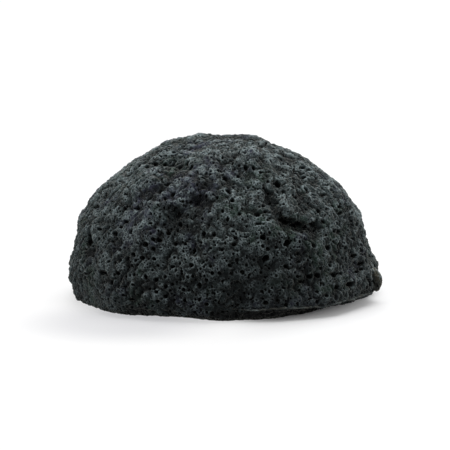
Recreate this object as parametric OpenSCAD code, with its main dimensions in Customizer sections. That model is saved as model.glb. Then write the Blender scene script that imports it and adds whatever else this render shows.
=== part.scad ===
// Half-round konjac sponge with charcoal, dry, as it comes out of its mould.
// The origin is the centre of the flat face that it rests on. +Z is up, -Y is the photographed front.

/* [Body] */
// Width of the dome at its widest ring, left to right
body_w = 75.2; // [66:0.2:84]
// Depth of the dome at its widest ring, front to back
body_d = 74; // [66:0.2:84]
// Height of the dome above the surface that it rests on
body_h = 40.6; // [34:0.2:48]
// Height of the widest ring above that surface
rim_h = 4.8; // [4.4:0.1:6]
// How far the rim swells out on its right
flare_w = 1.5; // [0:0.1:3]
// Height over which that swell dies away
flare_h = 6; // [4:0.2:12]

/* [Base] */
// Thickness of the base layer, up to the parting line of the mould
base_t = 3; // [2:0.1:4]
// How far the lower edge draws in between the widest ring and the flat face
base_inset = 4.4; // [3:0.1:6]
// How much further it draws in where the edge has curled up off the surface
curl_inset = 3.4; // [0:0.1:5]
// Diameter of the open cells in the flat face
base_pore_d = 2; // [1.2:0.1:2.6]
// Depth of those cells
base_pore_depth = 1.1; // [0.5:0.1:1.5]
// Distance between those cells
base_pore_pitch = 9.5; // [8:0.5:14]

/* [Skin] */
// Thickness of the dome's moulded skin
skin_t = 1.3; // [0.8:0.05:1.8]
// Gap between the skin and the foam inside it
core_gap = 0.2; // [0.1:0.05:0.4]
// Cells of the surface grid, along each side of its square
grid_n = 32; // [20:2:36]

/* [Relief] */
// Height of the slow swells that run over the whole dome
swell_h = 0.28; // [0:0.02:0.6]
// Length of the longest swell
swell_long = 27; // [20:1:40]
// Length of the shortest swell
swell_short = 10; // [9:0.5:16]
// Height of the fullest lump
lump_h = 1.3; // [0:0.1:1.8]
// Reach of the broadest lump
lump_w = 7; // [4:0.2:9]
// Depth of the deepest crease
crease_depth = 1.8; // [0:0.1:2.4]
// Half width of the broadest crease
crease_w = 3; // [2:0.1:4]

/* [Pores] */
// Diameter of the widest pore
pore_d = 2.6; // [1.6:0.1:3]
// Distance between neighbouring pores away from the photographed ones
pore_pitch = 7.4; // [6.8:0.2:12]
// Least distance that those pores keep from the photographed ones
pore_clear = 3.6; // [3:0.2:6]

/* [Flash] */
// Widest reach of the thin lip that the mould left along the parting line
flash_w = 1.3; // [0.6:0.1:2]
// Thickness of the lip where it leaves the skin
flash_root_t = 0.8; // [0.5:0.05:1.2]
// Thickness of the lip at its torn edge
flash_tip_t = 0.35; // [0.2:0.05:0.5]
// Gap between the skin and the trimmings that hold on to it
trim_gap = 0.1; // [0.05:0.05:0.3]
// How far the nub of foam at the lip's right end stands out
nub_w = 1.6; // [1:0.1:3]
// Height of that nub
nub_h = 4.2; // [3:0.1:6]

/* [Hidden] */

half_w = body_w / 2;
half_d = body_d / 2;
dome_h = body_h - rim_h;
golden_turn = 180 * (3 - sqrt(5));
overrun = 1.2;

// Turn below the widest ring at which the surface meets the parting line
part_turn = asin((rim_h - base_t) / rim_h);
edge_tilt = 90 + part_turn;

// The photograph is 450 pixels square, and these say how it sees the dome: the column of the dome's middle,
// the row of its widest ring's centre, half the pixels across that ring, and the rise of the view above level
PHOTO_COLUMN = 221;
PHOTO_ROW = 278;
PHOTO_HALF = 150;
PHOTO_RISE = 9.5;

// Lumps and dips of the front: photograph's column and row, share of the reach, share of the height
FRONT_LUMP_SHARES = [
    [283, 206, 0.55, 1], [304, 204, 0.6, 0.5], [158, 208, 0.8, 0.7], [133, 190, 0.7, 0.5],
    [150, 178, 0.6, 0.4], [195, 187, 0.8, 0.45], [146, 232, 0.75, 0.5], [100, 230, 0.6, 0.5],
    [90, 279, 0.7, 0.4], [330, 215, 0.8, 0.4], [326, 234, 0.7, 0.4], [115, 270, 0.8, 0.35],
    [190, 278, 0.8, 0.3], [256, 248, 0.9, 0.45], [222, 255, 0.7, 0.35], [280, 290, 0.8, 0.3],
    [203, 150, 0.9, 0.45], [246, 153, 0.8, 0.4], [75, 272, 0.6, 0.3], [300, 236, 0.6, 0.5],
    [166, 252, 0.5, -0.7], [193, 249, 0.45, -0.7], [264, 259, 0.55, -0.9], [327, 248, 0.5, -0.6],
    [133, 207, 0.5, -0.6], [123, 242, 0.5, -0.5], [240, 300, 0.8, -0.6], [333, 270, 0.6, -0.5],
    [300, 283, 0.5, -0.4], [200, 284, 0.5, -0.5], [241, 186, 0.6, -0.35], [75, 248, 0.4, -0.6]];
// Lumps and dips of the sides and the back: azimuth, tilt from the top, and the same two shares
BACK_LUMP_SHARES = [
    [150, 50, 0.9, 0.5], [115, 62, 0.9, 0.5], [80, 40, 0.9, 0.45], [62, 70, 0.9, 0.55],
    [30, 52, 0.9, 0.5], [98, 74, 0.7, -0.6], [45, 58, 0.6, -0.5], [135, 74, 0.7, 0.45],
    [168, 60, 0.7, -0.5], [12, 74, 0.8, 0.45], [130, 30, 0.8, -0.4], [-20, 40, 0.8, 0.35],
    [180, 61, 1.2, 1.45], [180, 40, 0.8, -0.45], [0, 57, 1.4, 1.3], [0, 28, 1, -0.6],
    [5, 84, 0.9, 0.6]];

// Creases of the front: photograph's column and row of both ends, share of the half width, share of the depth
FRONT_CREASE_SHARES = [
    [277, 214, 297, 221, 0.8, 0.9], [297, 221, 314, 224, 0.8, 0.8],
    [268, 191, 273, 210, 0.75, 0.7], [171, 215, 197, 200, 0.9, 0.75],
    [167, 160, 189, 168, 1, 0.55], [88, 236, 91, 248, 0.6, 0.85]];
// Creases of the back: azimuth and tilt of both ends, and the same two shares
BACK_CREASE_SHARES = [
    [74, 52, 88, 58, 0.9, 0.7], [118, 44, 128, 52, 0.9, 0.6], [20, 62, 33, 68, 0.9, 0.6]];

// Pores that the photograph shows best: column, row, share of the widest diameter
FRONT_PORE_SHARES = [
    [228, 191, 1], [257, 214, 0.85], [275, 184, 0.8], [232, 200, 0.7], [280, 193, 0.75],
    [265, 260, 1], [285, 266, 0.85], [327, 249, 0.9], [145, 245, 0.9], [160, 241, 0.8],
    [191, 265, 0.75], [200, 285, 0.85], [131, 232, 0.95], [194, 201, 0.9], [100, 228, 0.6],
    [332, 274, 0.85], [309, 277, 0.75], [266, 304, 0.8], [350, 284, 1], [107, 272, 0.95],
    [97, 207, 0.85], [139, 209, 0.85], [167, 183, 0.65], [234, 244, 0.6], [189, 290, 0.65],
    [214, 273, 0.6], [173, 193, 0.75], [176, 244, 0.6], [120, 250, 0.65], [353, 257, 0.65],
    [180, 217, 0.7], [168, 233, 0.7], [213, 233, 0.55], [332, 232, 0.7], [317, 211, 0.7],
    [278, 160, 0.55], [252, 168, 0.7], [262, 183, 0.55], [88, 258, 0.6], [232, 293, 0.55]];

// Where the lower edge has curled up: azimuth of the middle, and how far it reaches each way
curl_middle = -42;
curl_reach = 46;
// The lip's two ends along the parting line, and the nub's place and spread near its right end
flash_from = -86;
flash_to = -2;
nub_azimuth = -6;
nub_spread = 6;

function smooth_step(t) = let (c = max(0, min(1, t))) c * c * (3 - 2 * c);
function unit(v) = v / norm(v);
function hash_share(k) = let (s = sin(k * 71.7 + 13.1) * 917.3) s - floor(s);
function turn_gap(a, b) = abs((a - b + 540) % 360 - 180);

// A point of the smooth body: a half ellipsoid down to the widest ring, a rounded edge below it
function smooth_point(azimuth, tilt) = let (
        below = max(0, tilt - 90),
        z = below > 0 ? rim_h * (1 - sin(below)) : rim_h + dome_h * cos(tilt),
        draw_in = base_inset * (1 - cos(below)),
        flare = flare_w * pow(max(0, cos(azimuth)), 2) * exp(-pow((z - rim_h) / flare_h, 2)),
        reach = below > 0 ? 1 : sin(tilt))
    [((half_w - draw_in) * reach + flare) * cos(azimuth),
        ((half_d - draw_in) * reach + flare) * sin(azimuth), z];

// Outward direction there: square to the ellipsoid, and level below the widest ring
function outward(azimuth, tilt) = let (t = min(90, tilt))
    unit([sin(t) * cos(azimuth) / half_w, sin(t) * sin(azimuth) / half_d, cos(t) / dome_h]);

// Slow swells: waves whose directions spread evenly over the sphere, each shorter and lower than the last
SWELLS = 14;
SWELL_SEED = 981;
function swell_direction(k) = let (up = 1 - (2 * k + 1) / SWELLS, side = sqrt(1 - up * up))
    [side * cos(k * golden_turn), side * sin(k * golden_turn), up];
function swell_length(k) = swell_long * pow(swell_short / swell_long, k / (SWELLS - 1));
function swell(p) = swell_h * sum_of([for (k = [0 : SWELLS - 1]) swell_length(k) / swell_long
    * sin(360 * p * swell_direction(k) / swell_length(k) + 360 * hash_share(k + SWELL_SEED))]);
function sum_of(list) = list * [for (item = list) 1];

// Azimuth and tilt of what the photograph shows at a column and a row, on the half ellipsoid's near side
function seen_at(column, row) = let (
        x = (column - PHOTO_COLUMN) / PHOTO_HALF,
        up = (PHOTO_ROW - row) / PHOTO_HALF * half_w,
        slice = sqrt(max(0, 1 - x * x)),
        from_depth = half_d * sin(PHOTO_RISE),
        from_height = dome_h * cos(PHOTO_RISE),
        most = slice * norm([from_depth, from_height]),
        lift = asin(max(-1, min(1, up / max(most, skin_t)))),
        turn = max(0, atan2(from_depth, from_height) + lift))
    [atan2(-slice * cos(turn), x), acos(min(1, slice * sin(turn)))];

// Every lump, crease and pore by azimuth and tilt
LUMP_SHARES = concat(BACK_LUMP_SHARES,
    [for (l = FRONT_LUMP_SHARES) let (place = seen_at(l[0], l[1])) [place[0], place[1], l[2], l[3]]]);
CREASE_SHARES = concat(BACK_CREASE_SHARES,
    [for (c = FRONT_CREASE_SHARES) concat(seen_at(c[0], c[1]), seen_at(c[2], c[3]), [c[4], c[5]])]);
PORE_SHARES = [for (p = FRONT_PORE_SHARES) concat(seen_at(p[0], p[1]), [p[2]])];

// Lumps and dips fade with distance as a bell curve, and creases fade so on both sides of a line
LUMP_PLACES = [for (l = LUMP_SHARES) smooth_point(l[0], l[1])];
CREASE_ENDS = [for (c = CREASE_SHARES) [smooth_point(c[0], c[1]), smooth_point(c[2], c[3])]];
function lumps(p) = lump_h * sum_of([for (k = [0 : len(LUMP_SHARES) - 1])
    let (away = norm(p - LUMP_PLACES[k]) / (lump_w * LUMP_SHARES[k][2]))
    LUMP_SHARES[k][3] * exp(-away * away)]);
function to_line(p, ends) = let (along = ends[1] - ends[0], s = (p - ends[0]) * along / (along * along))
    norm(p - ends[0] - along * max(0, min(1, s)));
function creases(p, spread) = -crease_depth * max([for (k = [0 : len(CREASE_SHARES) - 1])
    let (away = to_line(p, CREASE_ENDS[k]) / (crease_w * CREASE_SHARES[k][4] + spread))
    CREASE_SHARES[k][5] * exp(-away * away)]);

// The lumpy surface, or one that lies a given depth under it
function body_point(azimuth, tilt, depth = 0) = let (p = smooth_point(azimuth, tilt))
    p + outward(azimuth, tilt) * (swell(p) + lumps(p) + creases(p, depth) - depth);

// Grid over the dome: squares of a square become rings of the dome, so its cells stay of one size
function ring_place(u, v) = u == 0 && v == 0 ? [0, 0]
    : abs(u) >= abs(v) ? [45 * v / u + (u < 0 ? 180 : 0), abs(u)]
    : [90 - 45 * u / v + (v < 0 ? 180 : 0), abs(v)];
function dome_grid(depth) = [for (i = [0 : grid_n], j = [0 : grid_n])
    let (place = ring_place(2 * i / grid_n - 1, 2 * j / grid_n - 1))
    body_point(place[0], place[1] * edge_tilt, depth)];
function cell(i, j) = i * (grid_n + 1) + j;
function grid_faces(start, up) = [for (i = [0 : grid_n - 1], j = [0 : grid_n - 1], half = [0, 1])
    let (face = half == 0 ? [cell(i, j), cell(i, j + 1), cell(i + 1, j + 1)]
        : [cell(i, j), cell(i + 1, j + 1), cell(i + 1, j)])
    [for (k = up ? [0 : 2] : [2 : -1 : 0]) start + face[k]]];
// The grid's border, once round against the clock from above
BORDER = concat([for (i = [0 : grid_n - 1]) cell(i, 0)], [for (j = [0 : grid_n - 1]) cell(grid_n, j)],
    [for (i = [grid_n : -1 : 1]) cell(i, grid_n)], [for (j = [grid_n : -1 : 1]) cell(0, j)]);
EDGE_N = 4 * grid_n;
function edge_azimuth(k) = -135 + 360 * k / EDGE_N;

module foam_core() {
    color([0.2, 0.23, 0.24])
        polyhedron(dome_grid(skin_t + core_gap), concat(grid_faces(0, true), [BORDER]), convexity = 6);
}

// Closed shell between the outer surface and one that lies skin_t under it
module skin_shell() {
    inner = (grid_n + 1) * (grid_n + 1);
    foot = [for (k = [0 : EDGE_N - 1]) let (a = BORDER[k], b = BORDER[(k + 1) % EDGE_N])
        each [[a, b, b + inner], [a, b + inner, a + inner]]];
    polyhedron(concat(dome_grid(0), dome_grid(skin_t)),
        concat(grid_faces(0, true), grid_faces(inner, false), foot), convexity = 8);
}

// One open cell through the skin: two short prisms side by side, joined into an oval. Shares of its diameter:
// the wide prism's diameter and place, then the narrow one's
PORE_WIDE_SHARES = [0.9, 0.14];
PORE_NARROW_SHARES = [0.6, -0.25];
module pore(azimuth, tilt, d, turn) {
    place = body_point(azimuth, tilt);
    way = outward(azimuth, tilt);
    length = skin_t + 2 * overrun;
    translate(place) rotate([0, acos(way[2]), atan2(way[1], way[0])]) rotate(turn)
        translate([0, 0, -skin_t - overrun]) hull() {
            translate([d * PORE_WIDE_SHARES[1], 0, 0])
                cylinder(h = length, d = d * PORE_WIDE_SHARES[0], $fn = 5);
            translate([d * PORE_NARROW_SHARES[1], 0, 0])
                cylinder(h = length, d = d * PORE_NARROW_SHARES[0], $fn = 3);
        }
}

// Even spread of further pores: a spiral from the top, each pushed a little off its place
SPREAD_N = round(2 * PI * half_w * dome_h / (pore_pitch * pore_pitch));
SPREAD_TURN = 16;
SPREAD_LEAST_SHARE = 0.42;
SPREAD_MOST_SHARE = 0.84;
PHOTO_PLACES = [for (s = PORE_SHARES) smooth_point(s[0], s[1])];
function spread_place(k) = [k * golden_turn + SPREAD_TURN * hash_share(k + 40),
    acos(1 - (k + 0.3 + 0.5 * hash_share(k + 80)) / SPREAD_N)];
function spread_d(k) = let (s = pow(hash_share(k + 7), 2))
    pore_d * (SPREAD_LEAST_SHARE * (1 - s) + SPREAD_MOST_SHARE * s);
SPREAD_PORES = [for (k = [0 : SPREAD_N - 1]) let (s = spread_place(k), p = smooth_point(s[0], s[1]))
    if (min([for (q = PHOTO_PLACES) norm(p - q)]) > pore_clear && p[2] > rim_h - base_t + pore_d / 2)
        [s[0], s[1], spread_d(k)]];

module dome_skin() {
    color([0.27, 0.31, 0.32]) difference() {
        skin_shell();
        for (k = [0 : len(PORE_SHARES) - 1])
            pore(PORE_SHARES[k][0], PORE_SHARES[k][1], pore_d * PORE_SHARES[k][2], 360 * hash_share(k + 3));
        for (k = [0 : len(SPREAD_PORES) - 1])
            pore(SPREAD_PORES[k][0], SPREAD_PORES[k][1], SPREAD_PORES[k][2], 360 * hash_share(k + 5));
    }
}

// How much of the full curl the lower edge has at an azimuth
function curl_share(azimuth) = 1 - smooth_step(turn_gap(azimuth, curl_middle) / curl_reach);

// The base layer's side: round where the edge lies down, hollow where it has curled up
BASE_STEPS = 4;
function base_point(azimuth, step) = let (
        top = body_point(azimuth, edge_tilt),
        curl = curl_share(azimuth),
        inset = base_inset * cos(part_turn) + curl_inset * curl,
        way = outward(azimuth, edge_tilt),
        t = 90 * step / BASE_STEPS,
        drawn = inset * ((1 - curl) * (1 - cos(t)) + curl * sin(t)),
        z = base_t * ((1 - curl) * (1 - sin(t)) + curl * cos(t)))
    [top[0] - way[0] * drawn, top[1] - way[1] * drawn, step == BASE_STEPS ? 0 : z];

module base_block() {
    rings = [for (s = [0 : BASE_STEPS], k = [0 : EDGE_N - 1]) base_point(edge_azimuth(k), s)];
    sides = [for (s = [0 : BASE_STEPS - 1], k = [0 : EDGE_N - 1]) let (
            a = s * EDGE_N + k, b = s * EDGE_N + (k + 1) % EDGE_N)
        each [[a, b, b + EDGE_N], [a, b + EDGE_N, a + EDGE_N]]];
    polyhedron(rings, concat(sides, [[for (k = [EDGE_N - 1 : -1 : 0]) k]],
        [[for (k = [0 : EDGE_N - 1]) BASE_STEPS * EDGE_N + k]]), convexity = 4);
}

// The open cells of the flat face run down to this share of their full diameter
BASE_LEAST_SHARE = 0.6;
function cell_share(k) = BASE_LEAST_SHARE + (1 - BASE_LEAST_SHARE) * hash_share(k);
module base_layer() {
    cells_r = min(half_w, half_d) - base_inset - curl_inset - base_pore_d;
    cells_n = floor(PI * cells_r * cells_r / (base_pore_pitch * base_pore_pitch));
    color([0.24, 0.27, 0.28]) difference() {
        base_block();
        for (k = [1 : cells_n - 1]) rotate(k * golden_turn)
            translate([cells_r * sqrt(k / cells_n), 0, -overrun])
                cylinder(h = base_pore_depth + overrun, d = base_pore_d * cell_share(k), $fn = 9);
    }
}

// Torn lip on the skin's foot: it follows the foot's own edge points and its reach comes and goes.
// Shares of its widest reach: the middle, a slow wave, a quick wave and the least
TEAR_SHARES = [0.55, 0.25, 0.2, 0.08];
function flash_reach(azimuth) = let (
        s = (azimuth - flash_from) / (flash_to - flash_from),
        tear = TEAR_SHARES[0] + TEAR_SHARES[1] * sin(azimuth * 9) + TEAR_SHARES[2] * sin(azimuth * 23 + 40))
    flash_w * max(TEAR_SHARES[3], tear) * pow(max(0, sin(180 * s)), 0.4);
module rim_flash() {
    inside = [for (k = [0 : EDGE_N - 1]) if (edge_azimuth(k) > flash_from && edge_azimuth(k) < flash_to)
        edge_azimuth(k)];
    count = len(inside);
    foot = edge_tilt;
    above = 90 + asin((rim_h - base_t - flash_root_t) / rim_h);
    points = [for (a = inside) let (
            way = outward(a, foot), low = body_point(a, foot) + way * trim_gap,
            high = body_point(a, above) + way * trim_gap, out = low + way * flash_reach(a))
        each [low, out, out + [0, 0, flash_tip_t], high]];
    sides = [for (k = [0 : count - 2], c = [0 : 3]) let (a = 4 * k + c, b = 4 * k + (c + 1) % 4)
        each [[a, a + 4, b + 4], [a, b + 4, b]]];
    color([0.42, 0.43, 0.41])
        polyhedron(points, concat(sides, [[0, 1, 2, 3]],
            [[for (c = [3 : -1 : 0]) 4 * (count - 1) + c]]), convexity = 4);
}

// Tab of foam that the mould's seam left at the lip's right end: it fits the skin above and hangs free below
NUB_STEPS = 6;
// Share of the nub's reach that its thin edges keep, share of its height above the widest ring, and how much
// narrower it is at its foot
NUB_EDGE_SHARE = 0.12;
NUB_ABOVE_SHARE = 0.2;
NUB_TAPER_SHARE = 0.3;
function nub_bulge(across, down) = let (
        full = sqrt(1 - pow(2 * across - 1, 4)) * sin(20 + 125 * down))
    nub_w * (NUB_EDGE_SHARE + (1 - NUB_EDGE_SHARE) * full);
function nub_point(across, down, out) = let (
        z = rim_h + nub_h * (NUB_ABOVE_SHARE - down),
        azimuth = nub_azimuth + nub_spread * (across - 0.5) * (1 - NUB_TAPER_SHARE * down),
        tilt = z > rim_h ? acos((z - rim_h) / dome_h) : 90,
        seat = body_point(azimuth, tilt),
        way = outward(nub_azimuth, 90) * (trim_gap + out * nub_bulge(across, down)))
    [seat[0] + way[0], seat[1] + way[1], z];
module rim_nub() {
    rows = NUB_STEPS + 1;
    layer = rows * rows;
    function at(i, j, out) = out * layer + i * rows + j;
    // Once round the patch's border
    ring = concat([for (i = [0 : NUB_STEPS - 1]) [i, 0]], [for (j = [0 : NUB_STEPS - 1]) [NUB_STEPS, j]],
        [for (i = [NUB_STEPS : -1 : 1]) [i, NUB_STEPS]], [for (j = [NUB_STEPS : -1 : 1]) [0, j]]);
    points = [for (out = [0, 1], i = [0 : NUB_STEPS], j = [0 : NUB_STEPS])
        nub_point(i / NUB_STEPS, j / NUB_STEPS, out)];
    faces = [for (i = [0 : NUB_STEPS - 1], j = [0 : NUB_STEPS - 1], out = [0, 1])
        let (a = at(i, j, out), b = at(i + 1, j, out), c = at(i + 1, j + 1, out), d = at(i, j + 1, out))
        each (out == 1 ? [[a, b, c], [a, c, d]] : [[c, b, a], [d, c, a]])];
    sides = [for (k = [0 : len(ring) - 1]) let (p = ring[k], q = ring[(k + 1) % len(ring)],
            a = at(p[0], p[1], 0), b = at(q[0], q[1], 0), c = at(q[0], q[1], 1), d = at(p[0], p[1], 1))
        each [[a, b, c], [a, c, d]]];
    color([0.33, 0.31, 0.26]) polyhedron(points, concat(faces, sides), convexity = 4);
}

foam_core();
dome_skin();
base_layer();
rim_flash();
rim_nub();
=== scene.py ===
"""Half-round konjac sponge of charcoal foam: its looks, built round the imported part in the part's own frame.

The form is worked out in millimetres with numpy, as the part's source does it, and then gets what the solids leave
out: finer lumps, foam bubbles cut open at the skin, their thin pale rims, and the grain of the foam.
"""

import itertools
import math

import bpy
import numpy as np
from bpy.props import FloatProperty, FloatVectorProperty, IntProperty, PointerProperty
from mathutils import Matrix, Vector


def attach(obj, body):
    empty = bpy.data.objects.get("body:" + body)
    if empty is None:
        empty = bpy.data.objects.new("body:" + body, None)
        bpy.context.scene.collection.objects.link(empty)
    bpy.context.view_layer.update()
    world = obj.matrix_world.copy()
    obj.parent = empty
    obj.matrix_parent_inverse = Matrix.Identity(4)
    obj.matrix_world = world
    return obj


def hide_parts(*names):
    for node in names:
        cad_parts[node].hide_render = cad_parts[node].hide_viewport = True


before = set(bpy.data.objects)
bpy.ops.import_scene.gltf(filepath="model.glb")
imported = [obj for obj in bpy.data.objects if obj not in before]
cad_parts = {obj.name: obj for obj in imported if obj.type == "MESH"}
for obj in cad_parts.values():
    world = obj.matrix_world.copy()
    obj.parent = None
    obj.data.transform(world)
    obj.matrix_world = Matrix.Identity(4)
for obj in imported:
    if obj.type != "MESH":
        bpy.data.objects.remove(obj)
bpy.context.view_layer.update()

bl_info = {
    "name": "Konjac sponge",
    "version": (1, 0, 0),
    "blender": (4, 5, 0),
    "location": "3D View > Sidebar > Sponge",
    "description": "Builds a half-round cleansing sponge of charcoal foam with its floor, light and camera",
    "category": "Add Mesh",
}

BODY = "root"
MM = 0.001
BAKE_MAP = "OFBake"

# Pixels along a side of the square photograph, column of the dome's middle, row of its widest ring's centre, half the
# pixels across that ring, and the rise of the view above level in degrees
PHOTO_SIDE, PHOTO_COLUMN, PHOTO_ROW, PHOTO_HALF, PHOTO_RISE = 450, 221, 278, 150, 9.5
# Width of the camera's sensor in millimetres
SENSOR = 36

# Lumps and dips of the front: column, row, share of the reach, share of the height
FRONT_LUMP_SHARES = np.array([
    (283, 206, 0.55, 1), (304, 204, 0.6, 0.5), (158, 208, 0.8, 0.7), (133, 190, 0.7, 0.5), (150, 178, 0.6, 0.4),
    (195, 187, 0.8, 0.45), (146, 232, 0.75, 0.5), (100, 230, 0.6, 0.5), (90, 279, 0.7, 0.4), (330, 215, 0.8, 0.4),
    (326, 234, 0.7, 0.4), (115, 270, 0.8, 0.35), (190, 278, 0.8, 0.3), (256, 248, 0.9, 0.45), (222, 255, 0.7, 0.35),
    (280, 290, 0.8, 0.3), (203, 150, 0.9, 0.45), (246, 153, 0.8, 0.4), (75, 272, 0.6, 0.3), (300, 236, 0.6, 0.5),
    (166, 252, 0.5, -0.7), (193, 249, 0.45, -0.7), (264, 259, 0.55, -0.9), (327, 248, 0.5, -0.6),
    (133, 207, 0.5, -0.6), (123, 242, 0.5, -0.5), (240, 300, 0.8, -0.6), (333, 270, 0.6, -0.5), (300, 283, 0.5, -0.4),
    (200, 284, 0.5, -0.5), (241, 186, 0.6, -0.35), (75, 248, 0.4, -0.6)])
# Lumps and dips of the sides and the back: azimuth, tilt from the top, and the same two shares
BACK_LUMP_SHARES = np.array([
    (150, 50, 0.9, 0.5), (115, 62, 0.9, 0.5), (80, 40, 0.9, 0.45), (62, 70, 0.9, 0.55), (30, 52, 0.9, 0.5),
    (98, 74, 0.7, -0.6), (45, 58, 0.6, -0.5), (135, 74, 0.7, 0.45), (168, 60, 0.7, -0.5), (12, 74, 0.8, 0.45),
    (130, 30, 0.8, -0.4), (-20, 40, 0.8, 0.35), (180, 61, 1.2, 1.45), (180, 40, 0.8, -0.45), (0, 57, 1.4, 1.3),
    (0, 28, 1, -0.6), (5, 84, 0.9, 0.6)])
# Further lumps and dips of the outline, which the solids leave out: the same four values
OUTLINE_LUMP_SHARES = np.array([
    (155, 22, 1, 0.4), (125, 11, 0.6, 0.45), (50, 12, 0.8, -0.5), (25, 20, 0.9, -0.5), (166, 34, 1, 0.3),
    (10, 45, 0.7, -0.4), (0, 68, 1, -0.45), (8, 54, 0.5, 0.4), (-3, 80, 0.8, -1.15), (180, 42, 0.6, -0.2),
    (145, 17, 0.4, -0.65), (122, 11, 0.5, 0.3), (178, 66, 0.4, 0.6), (30, 18, 0.4, -0.45), (17, 27, 0.5, 0.35),
    (0, 40, 0.5, -0.35), (180, 60, 0.4, -0.3), (168, 41, 0.4, -0.3), (157, 26, 0.5, 0.25), (0, 66, 0.45, 0.5),
    (0, 49, 0.35, 0.35), (6, 57, 0.35, -0.55), (178, 84, 0.3, 0.3), (-4, 91, 0.5, -0.7), (178, 58, 0.4, 0.4),
    (4, 62, 0.35, 0.4), (36, 16, 0.4, -0.35), (6, 80, 0.7, -0.38)])
# Creases of the front: column and row of both ends, share of the half width, share of the depth
FRONT_CREASE_SHARES = np.array([
    (279, 217, 298, 223.5, 0.6, 1.05), (298, 224, 319, 225, 0.55, 0.95), (268, 191, 273, 210, 0.7, 0.75),
    (171, 215, 197, 200, 0.9, 0.75), (167, 160, 189, 168, 1, 0.55), (88, 236, 91, 248, 0.5, 0.6)])
# Creases of the back: azimuth and tilt of both ends, and the same two shares
BACK_CREASE_SHARES = np.array([
    (74, 52, 88, 58, 0.9, 0.7), (118, 44, 128, 52, 0.9, 0.6), (20, 62, 33, 68, 0.9, 0.6),
    (-17, 87, -16, 106, 0.25, 0.8)])
# How far each crease's upper side hangs over its lower side, as a share of its depth: the back's and the front's
OVERHANG_SHARES = np.array([0.5, 0.5, 0.5, 0, 1.2, 1.2, 0.3, 0.9, 0.8, 0])
# Where the lower edge draws in more or less than elsewhere: azimuth of the middle, reach each way, share of the tuck
BASE_TUCK_SHARES = np.array([(-108, 42, 0.6), (-168, 42, -0.4), (0, 13, -0.6), (-80, 36, -0.42)])
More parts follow.
